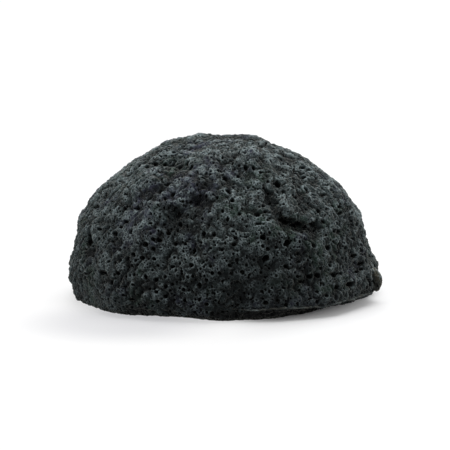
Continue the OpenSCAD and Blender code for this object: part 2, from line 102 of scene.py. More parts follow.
# Oval pores that the photograph shows: column, row, length, breadth, all in pixels, and turn in degrees from level
OVAL_PORES = [
    (96, 206, 7, 4, 40), (112, 201, 4.5, 2, 20), (137, 208, 5.5, 5, 0), (126, 221, 6, 4, 0), (141, 226, 3.5, 3, 0),
    (150, 223, 5, 3, 20), (99, 228.5, 5, 4, 20), (131, 231, 5, 6, 0), (115, 233, 5.5, 5, 0), (159, 240, 6.5, 5, 0),
    (145, 244, 6.5, 6, 0), (153, 248.5, 5, 4.5, 0), (194, 251, 7, 4.5, 90), (133, 254, 6.5, 4.5, -30),
    (92, 255, 4.5, 4, 0), (142, 257.5, 5.5, 5, 0), (120, 260, 5, 4.5, 0), (172, 266, 6, 4.5, 20), (85, 273, 5, 3, 0),
    (102, 272, 7, 6, 0), (106, 273, 4, 5, 0), (117, 273, 5, 4.5, 0), (145, 276.5, 4, 6, 20), (155, 279, 6, 5, 0),
    (111, 282, 4.5, 5.5, 0), (104, 287, 4.5, 3, -20), (133, 284, 4, 3, 0), (149, 288.5, 4, 3.5, 0),
    (170, 290, 3.5, 3, 0), (156, 291.5, 5, 4, 0), (199, 285, 5, 7, 0), (165, 296, 5, 4.5, 0), (131, 299.5, 6, 4, 0),
    (228, 191, 8, 5.5, -30), (206, 195.5, 3, 2.5, 40), (232, 200, 5, 5.5, 0), (209, 211.5, 4, 3, 0),
    (263, 205, 5, 3.5, -30), (257, 214, 7, 6, 0), (265, 211, 5, 3.5, 0), (269, 212.5, 3.5, 3, 0),
    (258, 223, 8.5, 4.5, 0), (213.5, 233.5, 5, 4.5, 0), (233, 231, 4, 3.5, 0), (235, 237, 5, 3.5, 0),
    (262, 237, 7, 6, 0), (233.5, 243.5, 5.5, 4.5, 0), (258, 242, 3, 2.5, 0), (267, 249, 5, 4.5, 0),
    (286, 243, 9, 6, 30), (265, 258, 7, 6, 40), (285.5, 265.5, 6, 5.5, 0), (313, 245, 6.5, 5.5, -30),
    (327, 247.5, 7, 6, 0), (305, 238, 4.5, 4, 0), (312.5, 230, 4.5, 4, 0), (322, 222, 5, 4.5, 0),
    (246, 265, 4, 3.5, 0), (242, 272, 5.5, 5, 0), (229, 265, 4.5, 4, 0), (219, 273, 4.5, 4, 0), (231, 273, 6, 3, 30),
    (206, 280, 4.5, 4, 0), (265, 304, 6, 5, 0), (282, 287, 4, 3.5, 0), (317.5, 275, 5, 7, 0), (333, 274, 7, 6.5, 0),
    (320, 268, 4, 3.5, 0), (326, 295, 4.5, 4, 0), (277, 300, 5, 3, 0), (206, 306, 5, 4, 0), (279, 158.5, 5, 3, -30),
    (277, 184, 8, 5.5, 70), (283, 192, 5, 5.5, 0), (295, 196.5, 5, 4, 0), (305, 189, 4, 5, 0), (301, 168, 5, 4, 0),
    (307, 170, 5, 3, -60), (303, 177, 4.5, 3.5, 0), (324, 185, 5, 3, -40), (312, 194.5, 3.5, 3, -40),
    (323, 194, 5, 4, -40), (326, 208, 3.5, 3, 0), (306, 208.5, 3.5, 3, 0), (317.5, 210, 5.5, 5, 0),
    (339, 213, 3.5, 4, 0), (343, 217, 3.5, 4, 0), (351, 213, 3, 4.5, 0), (333, 230.5, 6, 5, -30),
    (338.5, 230.5, 3.5, 4.5, 0), (345, 247, 4.5, 5, 0), (371, 266.5, 3.5, 4, 0), (350, 284, 8, 7, 0),
    (213.5, 154.5, 3.5, 3, 0), (218, 160, 4, 2, 0), (253, 167.5, 4.5, 4, 20), (181, 176, 3, 2.5, 20),
    (167, 183.5, 5.5, 4, 30), (160, 190, 6, 5, 40), (164, 197, 4.5, 3.5, -30), (204.5, 183, 4.5, 3, 0),
    (224, 178, 5.5, 4, 0), (210, 174, 4, 3.5, 0), (133, 180, 4, 2.5, 20), (143, 175, 4, 3, 20),
    (126, 194.5, 4.5, 2.5, 30), (155, 164, 5, 4, 0), (147, 167, 4, 3.5, 0), (165, 165, 3.5, 4, 0),
    (182, 154, 4, 2.5, 20), (190, 148, 4, 2.5, 20), (180, 167, 6, 3, -10), (187, 163, 5, 4, 30), (205, 149, 5, 2, -50),
    (228, 145.5, 3.5, 2, 0), (242, 142.5, 5, 2, -50), (262, 146, 5, 3, -20), (234, 157, 4, 3.5, 0),
    (238, 176, 5, 4, 0), (248, 187, 5, 2, 0), (197, 171, 4.5, 2, -40), (202, 177, 4, 3, 0), (117, 174, 4, 2, 10),
    (129, 171, 3, 2.5, 0), (260, 172, 4, 3, 0), (269, 172, 3.5, 3, 0), (284, 220, 13, 2.6, -24),
    (296, 223.5, 13, 3.2, -6), (309.5, 225, 16, 2.4, 2), (88.5, 241, 11, 2.4, -80), (369.8, 281.5, 10, 2.6, -82)]
# Round ones, by their width in pixels: column and row
ROUND_PORES = {
    2.5: [(118, 205), (165, 224), (90, 226), (158, 230), (161, 232), (142, 240), (138, 243), (123, 243), (163, 262)],
    3: [(141, 209), (95, 218), (114, 221), (136, 224), (112, 241), (189, 238.5), (124, 247), (113, 248), (104, 256),
        (137, 264), (169, 256), (126, 276), (81, 279), (101, 282.5), (176, 281.5), (123, 294.5), (242, 197),
        (203, 208.5), (259, 206), (246, 226), (269, 268), (223, 291), (299, 289.5), (294, 272), (329, 280.5),
        (270, 161), (299, 186), (330, 190), (311, 198.5), (193, 157), (222, 158.5), (256, 160)],
    3.5: [(185, 243.5), (131, 265), (108.5, 261), (174, 257), (188, 290), (141, 292), (217, 197.5), (202, 218),
        (269, 232), (201, 242), (228, 294), (261, 291), (244, 292.5), (299, 261), (316, 291), (293, 181), (334, 196.5),
        (336, 223), (352, 238), (333, 241), (338, 244), (342, 257.5), (360.5, 268.5), (356, 271)],
    4: [(124, 208), (153, 239), (154, 258.5), (135.5, 260), (114, 262), (158, 265), (171, 284), (183, 289), (199, 299),
        (184, 300), (239, 213), (227, 219), (262, 246), (276, 247), (210, 266), (297, 276), (291.5, 187.5), (359, 236),
        (353.5, 262)],
    4.5: [(119, 249), (222, 211), (298, 253), (212, 273), (301, 281), (329, 265), (340, 273), (331.5, 206),
        (338.5, 206.5), (356, 224), (360, 263)],
    5: [(180, 223.5), (168, 232.5), (175, 243.5), (165, 286), (353, 255.5), (245, 167.5), (172.5, 193.5)],
    5.5: [(191, 264.5), (203, 233), (309.5, 276)],
    6.5: [(336, 286)]}
FRONT_PORES = np.array(OVAL_PORES + [(*place, width, width, 0) for width, places in ROUND_PORES.items()
                                     for place in places])
# Broad hollows of a few millimetres, seen dark, and crowns, seen light, both shaped and also given painted shade and a
# painted highlight through the fold value: column, row, reach in pixels, share of the height
FRONT_HOLLOW_SHARES = np.array([
    (172, 158, 6, -0.9), (183, 166, 5, -0.7), (155, 164, 5, -0.6), (266, 197, 5, -1), (273, 205, 5, -0.7),
    (195, 200, 6, -0.9), (176, 211, 6, -0.6), (160, 190, 4, -0.5), (245, 169, 5, -0.6), (224, 178, 4, -0.5),
    (277, 184, 5, -0.7), (300, 219, 6, -0.9), (240, 308, 10, -0.8), (89, 240, 4, -0.7), (193, 252, 5, -0.5),
    (286, 245, 6, -0.6), (264, 262, 6, -0.5), (240, 225, 5, -0.4), (262, 236, 5, -0.5), (131, 297, 8, -0.5),
    (138, 168, 6, 0.7), (157, 183, 7, 0.7), (196, 152, 7, 0.6), (188, 158, 4, 0.5), (163, 208, 7, 0.8),
    (150, 177, 5, 0.4), (283, 206, 6, 0.9), (297, 236, 7, 0.6), (326, 232, 7, 0.6), (323, 212, 6, 0.6),
    (276, 190, 3, 0.6), (307, 198, 5, 0.5), (146, 231, 7, 0.4), (118, 266, 5, 0.5), (87, 277, 6, 0.5),
    (255, 247, 6, 0.5), (203, 276, 6, 0.5), (310, 268, 5, 0.5), (213, 145, 6, 0.5), (252, 153, 6, 0.4),
    (278, 164, 5, 0.4), (242, 268, 4, 0.4), (352, 277, 6, 0.5), (276, 288, 5, 0.4)])
# Casts of colour: column, row, reach in pixels, green-blue share, violet share
FRONT_CASTS = np.array([
    (135, 232, 22, 0, 1), (120, 250, 14, 0, 0.6), (150, 200, 16, 0, 0.7), (200, 195, 20, 0, 0.8),
    (190, 150, 16, 0, 0.8), (92, 256, 10, 0, 0.9), (214, 168, 16, 0, 0.6), (300, 234, 8, 0, 0.8),
    (245, 190, 14, 0.2, 0.6), (315, 196, 12, 0, 0.5), (170, 285, 14, 0, 0.5), (118, 290, 12, 0, 0.5),
    (92, 280, 12, 1, 0), (330, 235, 16, 1, 0), (320, 262, 18, 1, 0), (325, 285, 12, 1, 0), (280, 232, 12, 1, 0),
    (250, 250, 12, 0.7, 0), (150, 270, 16, 0.5, 0), (235, 205, 10, 0.6, 0), (300, 190, 14, 0.7, 0),
    (265, 175, 12, 0.6, 0), (155, 207, 8, 0.8, 0), (340, 210, 12, 0.6, 0), (205, 290, 14, 0.4, 0),
    (80, 252, 6, 0.9, 0), (350, 284, 8, 0.9, 0), (300, 218, 6, 0.8, 0)])
# The formulas' units, millimetre and degree, in the properties' units
FORMULA_UNITS = {"LENGTH": MM, "ROTATION": math.radians(1)}
SWELLS, SWELL_SEED = 14, 981
# Rounds of the search for what the camera shows at a pixel, and the share of the last error that a round takes up
SEEK_ROUNDS, SEEK_SHARE = 8, 0.8
# A crease's broad and sharp bell curves as shares of its depth, the sharp one's share of its width, and how broad its
# overhang's bell curve is
CREASE_BROAD_SHARE, CREASE_SHARP_SHARE, CREASE_SHARP_WIDTH_SHARE, OVERHANG_SPREAD = 0.6, 0.6, 0.35, 1.5
# How hollow the base's side is where it is tucked in, as a share of where it has curled up
TUCK_HOLLOW_SHARE = 0.5

# Stands for the distance inside a pore's edge where no pore is near
FAR_OUT = -9.0
# Brings the noise to about -1 to 1
NOISE_GAIN = 1.6
# How far a bubble lies off the middle of its cell of the lattice
BUBBLE_STRAY_SHARE = 0.85
# The foam's bubbles: which pitch, least and greatest radius as shares of it, how far they are drawn out inwards, the
# share of the wall's width, how much smaller they are near a marked pore, and their seed
BUBBLES = (("large_pitch", 0.15, 0.25, 1.5, 1, 0.55, 101), ("middle_pitch", 0.2, 0.33, 1.5, 1, 0.55, 202),
           ("small_pitch", 0.22, 0.38, 1.4, 0.8, 0, 303), ("tiny_pitch", 0.2, 0.36, 1, 0.7, 0, 404))
# Those of the nub, in millimetres
NUB_BUBBLES = {"pitch": 1.05, "least": 0.2, "most": 0.38, "stretch": 1.0, "wall_w": 0.12, "seed": 75}

# Marked pores. Reach in millimetres within which other large bubbles are smaller. How deep the ball sits under the
# skin, as a share of its radius; its size as a share of the pixels' size; and the least share of it that is still seen
# where the skin turns away from the camera. The radius in millimetres from which its wall is broader, and by how much.
# Its depth at the sponge's side, and how much less it is on top, as shares of its radius
MARK_REACH = 1.6
MARK_SINK_SHARE, MARK_SIZE_SHARE, MARK_LEAST_SHARE = 0.3, 0.94, 0.4
MARK_WALL_FROM, MARK_WALL_SHARE = 0.75, 0.35
MARK_DEPTH_SHARE, MARK_TOP_LESS_SHARE = 2.28, 1.33

# Noises, each with its share, its size in millimetres and its seed. The ridges lose their sign
FOLD_SWELLS, FOLD_RIDGES, FOLD_MEAN = ((0.6, 5.5, 11),), ((1.5, 3.2, 12), (1.2, 1.6, 13)), 0.72
GRAIN_NOISES, GRAIN_RIDGES, GRAIN_MEAN = ((0.5, 0.4, 53),), ((2, 1.3, 51), (1.4, 0.7, 52)), 0.68
WARP_NOISES = [((0.09, 1.1, 31 + k),) for k in range(3)]
TEAL_NOISES, PLUM_NOISES = ((0.85, 11, 81), (0.6, 3, 83)), ((0.85, 9, 82), (0.6, 3, 84))
TEAR_NOISES, DROOP_NOISES = ((0.6, 1.6, 61), (0.3, 0.7, 62)), ((0.6, 5, 63), (0.3, 1.7, 66))
LIP_NOISES = ((0.05, 0.6, 64), (0.03, 0.35, 65))
NUB_NOISES = ((0.3, 1.7, 71), (0.22, 0.75, 72), (0.13, 0.45, 73))
# How much of their height folds keep above and below the lumpy form, how far they lie outside it on the whole, and
# what they keep where they are held
CREST_SHARE, VALLEY_SHARE, FOLD_LIFT, HELD_SHARE = 0.55, 1.15, 0.2, 0.5
# A pore's raised rim: distance outside the edge, half width, and distance inside at which it ends
RIM_AT, RIM_W, RIM_END = 0.08, 0.1, 0.05
# How often the cut is blurred to find what is proud of it, how much a small hollow's height adds to the fold value as
# painted shade in hollows and a painted highlight on crowns, and how much a cast of one colour takes from the other
BLUR_TIMES, HOLLOW_SHADE_SHARE, OTHER_CAST_SHARE = 12, 0.7, 0.5

DOME_ROWS_SHARE, SIDE_ROWS_SHARE = 0.5, 0.1
DOME_PATCH_SHARE, FLAT_PATCH_SHARE = 0.5, 0.6
SIDE_MAP_SHARE, CAP_STRIP, CAP_PLACE, MAP_HALF = 0.7, 0.1, (0.05, 0.05), 0.495
# Height above the parting line over which the dome's relief turns level, in millimetres
SETTLE_H = 3
# Shares of the base's side over which relief turns downward from level, and how much the normals lean down
SIDE_LEVEL_SHARE, SIDE_DOWN_SHARE, LEAN_SHARE = 0.4, 0.25, 0.2
# Azimuth, reach each way, and degrees over which it dies away: where the lower edge is calmer, where the front's foot
# is given painted shade, and where the curled edge is given deep painted shade
CALM, FRONT_SHADE, CURL_SHADE = (-92, 15, 30), (-95, 15, 45), (-60, 22, 24)
# How much of the relief the calm takes, and where it starts on the flat face and on the side, as shares of each
CALM_SHARE, CALM_RING_FROM, CALM_SIDE_FROM, CALM_SIDE_REACH = 0.75, 0.8, 0.35, 0.45
# What full painted shade takes from the fold value, the least edge value there, what it adds to the fall value, and
# how soon it starts below the parting line
SHADE_FOLD, SHADE_EDGE, SHADE_FALL, CURL_SHADE_RATE, FRONT_SHADE_RATE = 1.3, 0.16, 0.45, 6, 1.5

# The lip: points round it, how far it reaches into the foam and lies above the parting line in millimetres, its mean
# tear, the tear's waves (share, waves round the sponge, phase), how much of its droop it has at its root, the least
# and most of its tear, how blunt its ends and edges are, how thin it is at its ends, and how pale at its torn edge
LIP_POINTS, LIP_IN, LIP_OVER, TEAR_MEAN_SHARE = 20, 0.9, 0.05, 0.385
TEAR_WAVES, DROOP_ROOT_SHARE = ((0.175, 9, 0), (0.14, 23, 40)), 0.3
TEAR_LEAST_SHARE, TEAR_MOST_SHARE, END_POWER, EDGE_POWER, END_T_SHARE, LIP_PALE = 0.05, 1.1, 0.4, 0.6, 0.3, 0.2

# The nub: rows, points round it, its top and bottom above and below the rim as shares of its height, and how square
# its ends are; how far it stands off at its top, how much further from its middle down, and its half thickness, all as
# shares of its reach, its half width as a share of its height, and how much that narrows downwards; and how much of
# their depth its bubbles keep
NUB_ROWS, NUB_POINTS, NUB_TOP_SHARE, NUB_BOTTOM_SHARE, NUB_END_POWER = 90, 96, 0.95, 0.42, 2.6
NUB_OFF_SHARE, NUB_FURTHER_SHARE, NUB_THICK_SHARE, NUB_WIDE_SHARE, NUB_NARROW_SHARE = 0.05, 0.35, 0.74, 0.42, 0.2
NUB_FALL_SHARE = 0.8
# Its one hollow: place along and round, depth in millimetres, and reach as a share of its reach
NUB_HOLLOW_ALONG, NUB_HOLLOW_ROUND, NUB_HOLLOW_H, NUB_HOLLOW_SHARE = 0.68, 0.79, 0.62, 0.52
# The values that its colour is made from: how far it lies outside a pore's edge, so that its hollows get painted
# shade, and how much nearer it is at its back, as painted shade where it lies against the body; what its rise and its
# height count for as a fold, the height giving a painted highlight on its top; and what its rise counts for as a pale
# web
NUB_EDGE, NUB_BACK_PAINTED_SHADE, NUB_FOLD_SHARE, NUB_TOP_PAINTED_LIGHT, NUB_FOLD_LESS, NUB_PROUD_SHARE = 0.32, 0.3, 2, 0.5, 0.2, 0.4

# The material's noises: cells a metre, detail, roughness
SPECK, PATCH, BLOTCH, CLOUD = (1500.0, 2.0, 0.6), (420.0, 3.0, 0.6), (650.0, 1.0, 0.5), (260.0, 1.0, 0.5)
FIBRE, COARSE, BEND = (3400.0, 3.0, 0.6), (1300.0, 2.0, 0.5), (1700.0, 1.0, 0.5)
BEND_REACH, NET_SCALE = 0.0005, 1250.0
# Where its smooth steps start and end
CAST_STEP, BLOTCH_STEP, CLOUD_STEP, NET_STEP = (0.1, 0.7), (0.6, 0.36), (0.6, 0.35), (0.02, 0.17)
RING_STEP, RING_END_STEP, PROUD_STEP, SPECK_STEP = (-0.26, -0.08), (-0.04, 0.05), (0.02, 0.14), (0.54, 0.72)
PATCH_STEP, FOLD_STEP, PAINTED_VALLEY_SHADE_STEP = (0.4, 0.6), (-0.6, 0.5), (-0.05, -0.9)
PORE_STEP, PORE_PAINTED_SHADE_STEP, PAINTED_FOOT_SHADE_STEP = (-0.02, 0.16), (0.02, 0.45), (0.026, 0.01)
PAINTED_RIGHT_SHADE_STEP, PAINTED_RIGHT_SHADE_END_STEP = (-0.008, 0.01), (0.034, 0.026)
# How pale each mark makes the foam, the pale webs, threads and specks being partly painted glints; how much of that
# patches and folds leave; and how dark each dark mark is, the darkening of valleys being painted shade and that of
# pores partly so
PALE_PROUD, PALE_RING, PALE_THREAD, PAINTED_GLINT_SPECK, PALE_RING_LEAST = 0.45, 0.5, 0.33, 0.3, 0.15
PATCH_SHARE, PATCH_LEAST, FOLD_LEAST = 1.05, 0.08, 0.05
DARK_BLOTCH, DARK_CLOUD, PAINTED_VALLEY_SHADE, PORE_PAINTED_SHADE, DARK_PORE_LEAST = 0.75, 0.76, 0.7, 0.7, 0.3
# Painted shade: how much darker the foam is made low down, and how much more so at the right
PAINTED_FOOT_SHADE, PAINTED_RIGHT_SHADE, PAINTED_FOOT_SHADE_LEAST = 0.4, 0.12, 0.1
# The bump's height in metres and its parts, the roughness, and the gloss
BUMP_H, BUMP_FIBRE, BUMP_THREAD, ROUGH_LEAST, ROUGH_FIBRE = 0.00014, 0.5, 0.5, 0.55, 0.3
SPECULAR, SHEEN, SHEEN_ROUGH = 0.12, 0.34, 0.36

# The floor: its colour to the camera, its colour to the sponge, the colour of its own light, the same darkened at the
# foot of the front left as a painted soft shadow, and the place of that foot
FLOOR_WHITE, FLOOR_GREY = (0.93, 0.93, 0.936), (0.15, 0.15, 0.153)
FLOOR_GLOW, PAINTED_SHADOW_GLOW = (1, 1, 1), (0.72, 0.72, 0.74)
PAINTED_SHADOW_PLACE, PAINTED_SHADOW_STEP = (-0.025, -0.036, 0), (0.03, 0.008)
# Painted light: how much of the floor's look is its own light, at the left, where it lightens the sponge's shadow, at
# the right away from the sponge, and close to it there, where the shadow stays dark
PAINTED_LIGHT_LEFT, PAINTED_LIGHT_RIGHT, PAINTED_LIGHT_LEAST, PAINTED_LIGHT_LEFT_STEP, PAINTED_LIGHT_AWAY_STEP = 0.65, 0.19, 0.02, (0.014, -0.001), (0.029, 0.039)
# The even light of the world, and the lamps: name, strength, angle of its disc in degrees, and where it shines from
WORLD_STRENGTH = 0.12
LAMPS = (("top_light", 1.75, 50, (0.06, 0.06, 0.75)), ("back_light", 1.9, 44, (0.1, 0.6, 0.42)),
         ("right_light", 1.05, 70, (0.7, -0.2, 0.23)), ("left_light", 1.5, 60, (-0.7, -0.12, 0.24)))
LAMP_TARGET = (0, 0, 0.02)


def length(name, description, default):
    """A length property, given in millimetres and held in metres."""
    return FloatProperty(name=name, description=description, default=default * MM, unit="LENGTH", precision=5)


def angle(name, description, default):
    """An angle property, given in degrees and held in radians."""
    return FloatProperty(name=name, description=description, default=math.radians(default), unit="ROTATION")


def colour(name, description, default):
    """A colour property in linear red, green and blue."""
    return FloatVectorProperty(name=name, description=description, default=default, size=3, min=0, max=1,
                               subtype="COLOR")


class SpongeSizes(bpy.types.PropertyGroup):
    """The sizes of the sponge, as in the part's source."""

    body_w: length("Body width", "Width of the dome at its widest ring, left to right", 75.2)
    body_d: length("Body depth", "Depth of the dome at its widest ring, front to back", 74)
    body_h: length("Body height", "Height of the dome above what it rests on", 40.6)
    rim_h: length("Rim height", "Height of the widest ring", 4.8)
    flare_w: length("Flare", "How far the rim swells out on its right", 1.5)
    flare_h: length("Flare height", "Height over which that swell dies away", 6)
    base_t: length("Base thickness", "Thickness of the base layer, up to the parting line", 3)
    base_inset: length("Base inset", "How far the lower edge draws in", 4.4)
    curl_inset: length("Curl inset", "How much further it draws in where the edge has curled up", 3.8)
    tuck_inset: length("Tuck inset", "How much further it draws in at the front left", 4.8)
    swell_h: length("Swell height", "Height of the slow swells", 0.28)
    swell_long: length("Longest swell", "Length of the longest swell", 27)
    swell_short: length("Shortest swell", "Length of the shortest swell", 10)
    lump_h: length("Lump height", "Height of the fullest lump", 1.3)
    lump_w: length("Lump reach", "Reach of the broadest lump", 7)
    crease_depth: length("Crease depth", "Depth of the deepest crease", 1.8)
    crease_w: length("Crease width", "Half width of the broadest crease", 3)
    hollow_h: length("Hollow depth", "Depth of the deepest small hollow", 0.9)
    flash_w: length("Lip reach", "Widest reach of the torn lip along the parting line", 1.3)
    flash_root_t: length("Lip root", "Thickness of the lip where it leaves the skin", 0.8)
    flash_tip_t: length("Lip tip", "Thickness of the lip at its torn edge", 0.35)
    nub_w: length("Nub reach", "How far the nub at the lip's right end stands out", 1.6)
    nub_h: length("Nub height", "Height of that nub", 4.2)
    curl_middle: angle("Curl place", "Azimuth of the curled edge's middle", -42)
    curl_reach: angle("Curl reach", "How far the curl reaches each way", 46)
    flash_from: angle("Lip start", "Azimuth of the lip's left end", -86)
    flash_to: angle("Lip end", "Azimuth of the lip's right end", -2)
    nub_azimuth: angle("Nub place", "Azimuth of the nub's middle", -15)


class SpongePores(bpy.types.PropertyGroup):
    """The foam's finer relief."""

    large_pitch: length("Large bubble pitch", "Distance between the large bubbles of the foam", 3.2)
    middle_pitch: length("Middle bubble pitch", "Distance between the middle bubbles", 1.75)
    small_pitch: length("Small bubble pitch", "Distance between the small bubbles", 1.08)
    tiny_pitch: length("Tiny bubble pitch", "Distance between the tiny bubbles", 0.68)
    fold_h: length("Fold height", "Height of the folds between the lumps and the pores in size", 0.7)
    grain_h: length("Grain height", "Height of the foam's grain", 0.11)
    wall_w: length("Wall width", "Width over which a pore's rim falls into its wall", 0.12)
    rim_up: length("Rim rise", "How far a pore's rim stands up", 0.1)
    cells: IntProperty(name="Grid cells", description="Cells along each side of the dome's top, a multiple of 8",
                       default=400, step=8)


class SpongeColours(bpy.types.PropertyGroup):
    """The colours of the foam."""

    foam: colour("Foam", "Charcoal foam of the skin", (0.0315, 0.0455, 0.0465))
    # The web colour, the foam's pale fibres, is bright enough to serve also as painted glints on its thin walls
    web: colour("Web", "Thin webs and rims between the pores", (0.258, 0.318, 0.33))
    # The deep colour is the dark inside the pores, and also what the painted shade in valleys, pores, recesses and at
    # the foot mixes in
    deep: colour("Deep", "Inside of the pores", (0.003, 0.0036, 0.004))
    teal: colour("Teal cast", "Patches with a green-blue cast", (0.028, 0.056, 0.0405))
    plum: colour("Plum cast", "Patches with a violet-blue cast", (0.041, 0.044, 0.075))
    torn: colour("Torn edge", "Torn foam of the lip", (0.16, 0.153, 0.125))
    tab: colour("Tab", "Drier foam of the nub", (0.08, 0.076, 0.056))
    fuzz: colour("Fuzz", "Sheen of the foam's fine fibres", (0.97, 0.98, 0.88))


class SpongeStage(bpy.types.PropertyGroup):
    """Camera, floor and light."""

    distance: length("Camera distance", "From the camera to the point it looks at", 750)
    rise: angle("Camera rise", "Rise of the view above level", 9.5)
    focal: FloatProperty(name="Focal length", description="On a 36 mm sensor", default=239, unit="CAMERA")
    target_x: length("Target right", "The point looked at, to the right of the middle", 1)
    target_z: length("Target height", "Height of the point looked at", 17.93)
    floor_size: length("Floor", "Side of the floor", 6000)


def take_values(holder, group):
    """Gives an object the values of a property group, in millimetres and degrees."""
    for name, kind in group.__annotations__.items():
        value, unit = getattr(group, name), kind.keywords.get("unit")
        setattr(holder, name, value / FORMULA_UNITS[unit] if unit in FORMULA_UNITS else value)


def hash_share(k):
    """Share from 0 to 1 that goes with a whole number, the same as in the part's source."""
    s = np.sin(np.radians(np.asarray(k, float) * 71.7 + 13.1)) * 917.3
    return s - np.floor(s)


def ease(t):
    """Smooth step: 3 t squared less 2 t cubed, held between 0 and 1."""
    t = np.clip(t, 0, 1)
    return t * t * (3 - 2 * t)


def near_azimuth(azimuth, middle, reach, fade):
    """Share that is 1 up to reach degrees from the middle and dies away over the next fade degrees."""
    return 1 - ease((np.abs((azimuth - middle + 540) % 360 - 180) - reach) / fade)


def unit(v):
    """Vectors of length one."""
    return v / np.maximum(np.linalg.norm(v, axis=-1, keepdims=True), 1e-12)


def dot(a, b):
    """Row by row product of vectors."""
    return np.einsum("...i,...i->...", a, b)


def bells(p, places, reaches, heights):
    """Sum of bell curves of the distance from each place."""
    total = np.zeros(len(p))
    for at, reach, height in zip(places, reaches, heights):
        total += height * np.exp(-((p - at) ** 2).sum(-1) / reach**2)
    return total


class Form:
    """The lumpy half ball in millimetres, as the part's source works it out."""

    def __init__(self, sizes, stage):
        take_values(self, sizes)
        self.eye_back = np.array([0, -math.cos(stage.rise), math.sin(stage.rise)])
        self.eye_up = np.array([0, math.sin(stage.rise), math.cos(stage.rise)])
        self.eye_target = np.array([stage.target_x, 0, stage.target_z]) / MM
        self.eye_distance, self.eye_scale = stage.distance / MM, stage.focal / SENSOR * PHOTO_SIDE
        self.half_w, self.half_d, self.dome_h = self.body_w / 2, self.body_d / 2, self.body_h - self.rim_h
        self.pixel = self.half_w / PHOTO_HALF
        self.part_turn = math.degrees(math.asin((self.rim_h - self.base_t) / self.rim_h))
        self.edge_tilt = 90 + self.part_turn
        golden = 180 * (3 - math.sqrt(5))
        k = np.arange(SWELLS)
        up = 1 - (2 * k + 1) / SWELLS
        side = np.sqrt(1 - up * up)
        turn = np.radians(k * golden)
        self.swell_way = np.stack([side * np.cos(turn), side * np.sin(turn), up], -1)
        self.swell_length = self.swell_long * (self.swell_short / self.swell_long) ** (k / (SWELLS - 1))
        self.swell_phase = 2 * np.pi * hash_share(k + SWELL_SEED)
        back, front = np.concatenate([BACK_LUMP_SHARES, OUTLINE_LUMP_SHARES]), FRONT_LUMP_SHARES
        both = np.concatenate([back, front])
        places = np.concatenate([back[:, :2], self.found_at(front, self.smooth_point)])
        self.lumps = self.smooth_point(*places.T), self.lump_w * both[:, 2], self.lump_h * both[:, 3]
        back, front = BACK_CREASE_SHARES, FRONT_CREASE_SHARES
        both = np.concatenate([back, front])
        ends = [np.concatenate([back[:, k:k + 2], self.found_at(front[:, k:], self.smooth_point)]) for k in (0, 2)]
        self.crease_lines = [*(self.smooth_point(*end.T) for end in ends), self.crease_w * both[:, 4],
                             self.crease_depth * both[:, 5], OVERHANG_SHARES]
        front = FRONT_HOLLOW_SHARES
        places = self.found_at(front, self.smooth_point)
        self.hollows = self.smooth_point(*places.T), self.pixel * front[:, 2], self.hollow_h * front[:, 3]

    def smooth_point(self, azimuth, tilt):
        """Half ellipsoid down to the widest ring, and below it an edge that draws in as a quarter ellipse."""
        a, t = np.radians(azimuth), np.radians(tilt)
        below = np.radians(np.maximum(0, np.asarray(tilt, float) - 90))
        z = np.where(below > 0, self.rim_h * (1 - np.sin(below)), self.rim_h + self.dome_h * np.cos(t))
        draw_in = self.base_inset * (1 - np.cos(below))
        flare = self.flare_w * np.maximum(0, np.cos(a)) ** 2 * np.exp(-(((z - self.rim_h) / self.flare_h) ** 2))
        reach = np.where(below > 0, 1, np.sin(t))
        return np.stack([((self.half_w - draw_in) * reach + flare) * np.cos(a),
                         ((self.half_d - draw_in) * reach + flare) * np.sin(a), z], -1)

    def outward(self, azimuth, tilt):
        """Square to the ellipsoid, and level below the widest ring."""
        a, t = np.radians(azimuth), np.radians(np.minimum(90, tilt))
        return unit(np.stack([np.sin(t) * np.cos(a) / self.half_w, np.sin(t) * np.sin(a) / self.half_d,
                              np.cos(t) / self.dome_h * np.ones_like(a)], -1))

    def seen_at(self, column, row):
        """Azimuth and tilt of what the photograph shows at a column and row, on the ellipsoid's near side."""
        x = (column - PHOTO_COLUMN) / PHOTO_HALF
        up = (PHOTO_ROW - row) / PHOTO_HALF * self.half_w
        cut = np.sqrt(np.maximum(0, 1 - x * x))
        rise = math.radians(PHOTO_RISE)
        from_depth, from_height = self.half_d * math.sin(rise), self.dome_h * math.cos(rise)
        most = np.maximum(cut * math.hypot(from_depth, from_height), 1)
        turn = np.maximum(0, math.atan2(from_depth, from_height) + np.arcsin(np.clip(up / most, -1, 1)))
        return np.stack([np.degrees(np.arctan2(-cut * np.cos(turn), x)),
                         np.degrees(np.arccos(np.minimum(1, cut * np.sin(turn))))], -1)

    def shown(self, p):
        """Column and row at which the camera shows points: their offsets across and up over their depth."""
        away = p - self.eye_target
        depth = self.eye_distance - away @ self.eye_back
        middle = (PHOTO_SIDE - 1) / 2
        return np.stack([middle + self.eye_scale * away[:, 0] / depth,
                         middle - self.eye_scale * (away @ self.eye_up) / depth], -1)

    def found_at(self, pixels, surface):
        """Azimuth and tilt of the points of a surface that the camera shows at columns and rows: seen_at is asked
        again and again, each time with the last error added."""
        asked = pixels[:, :2].astype(float)
        for _ in range(SEEK_ROUNDS):
            places = self.seen_at(*asked.T)
            asked = asked + SEEK_SHARE * (pixels[:, :2] - self.shown(surface(*places.T)))
        return places

    def swells(self, p):
        """Sum of waves in directions spread evenly over the sphere, each shorter and lower than the last."""
        wave = np.sin(2 * np.pi * (p @ self.swell_way.T) / self.swell_length + self.swell_phase)
        return self.swell_h * wave @ (self.swell_length / self.swell_long)

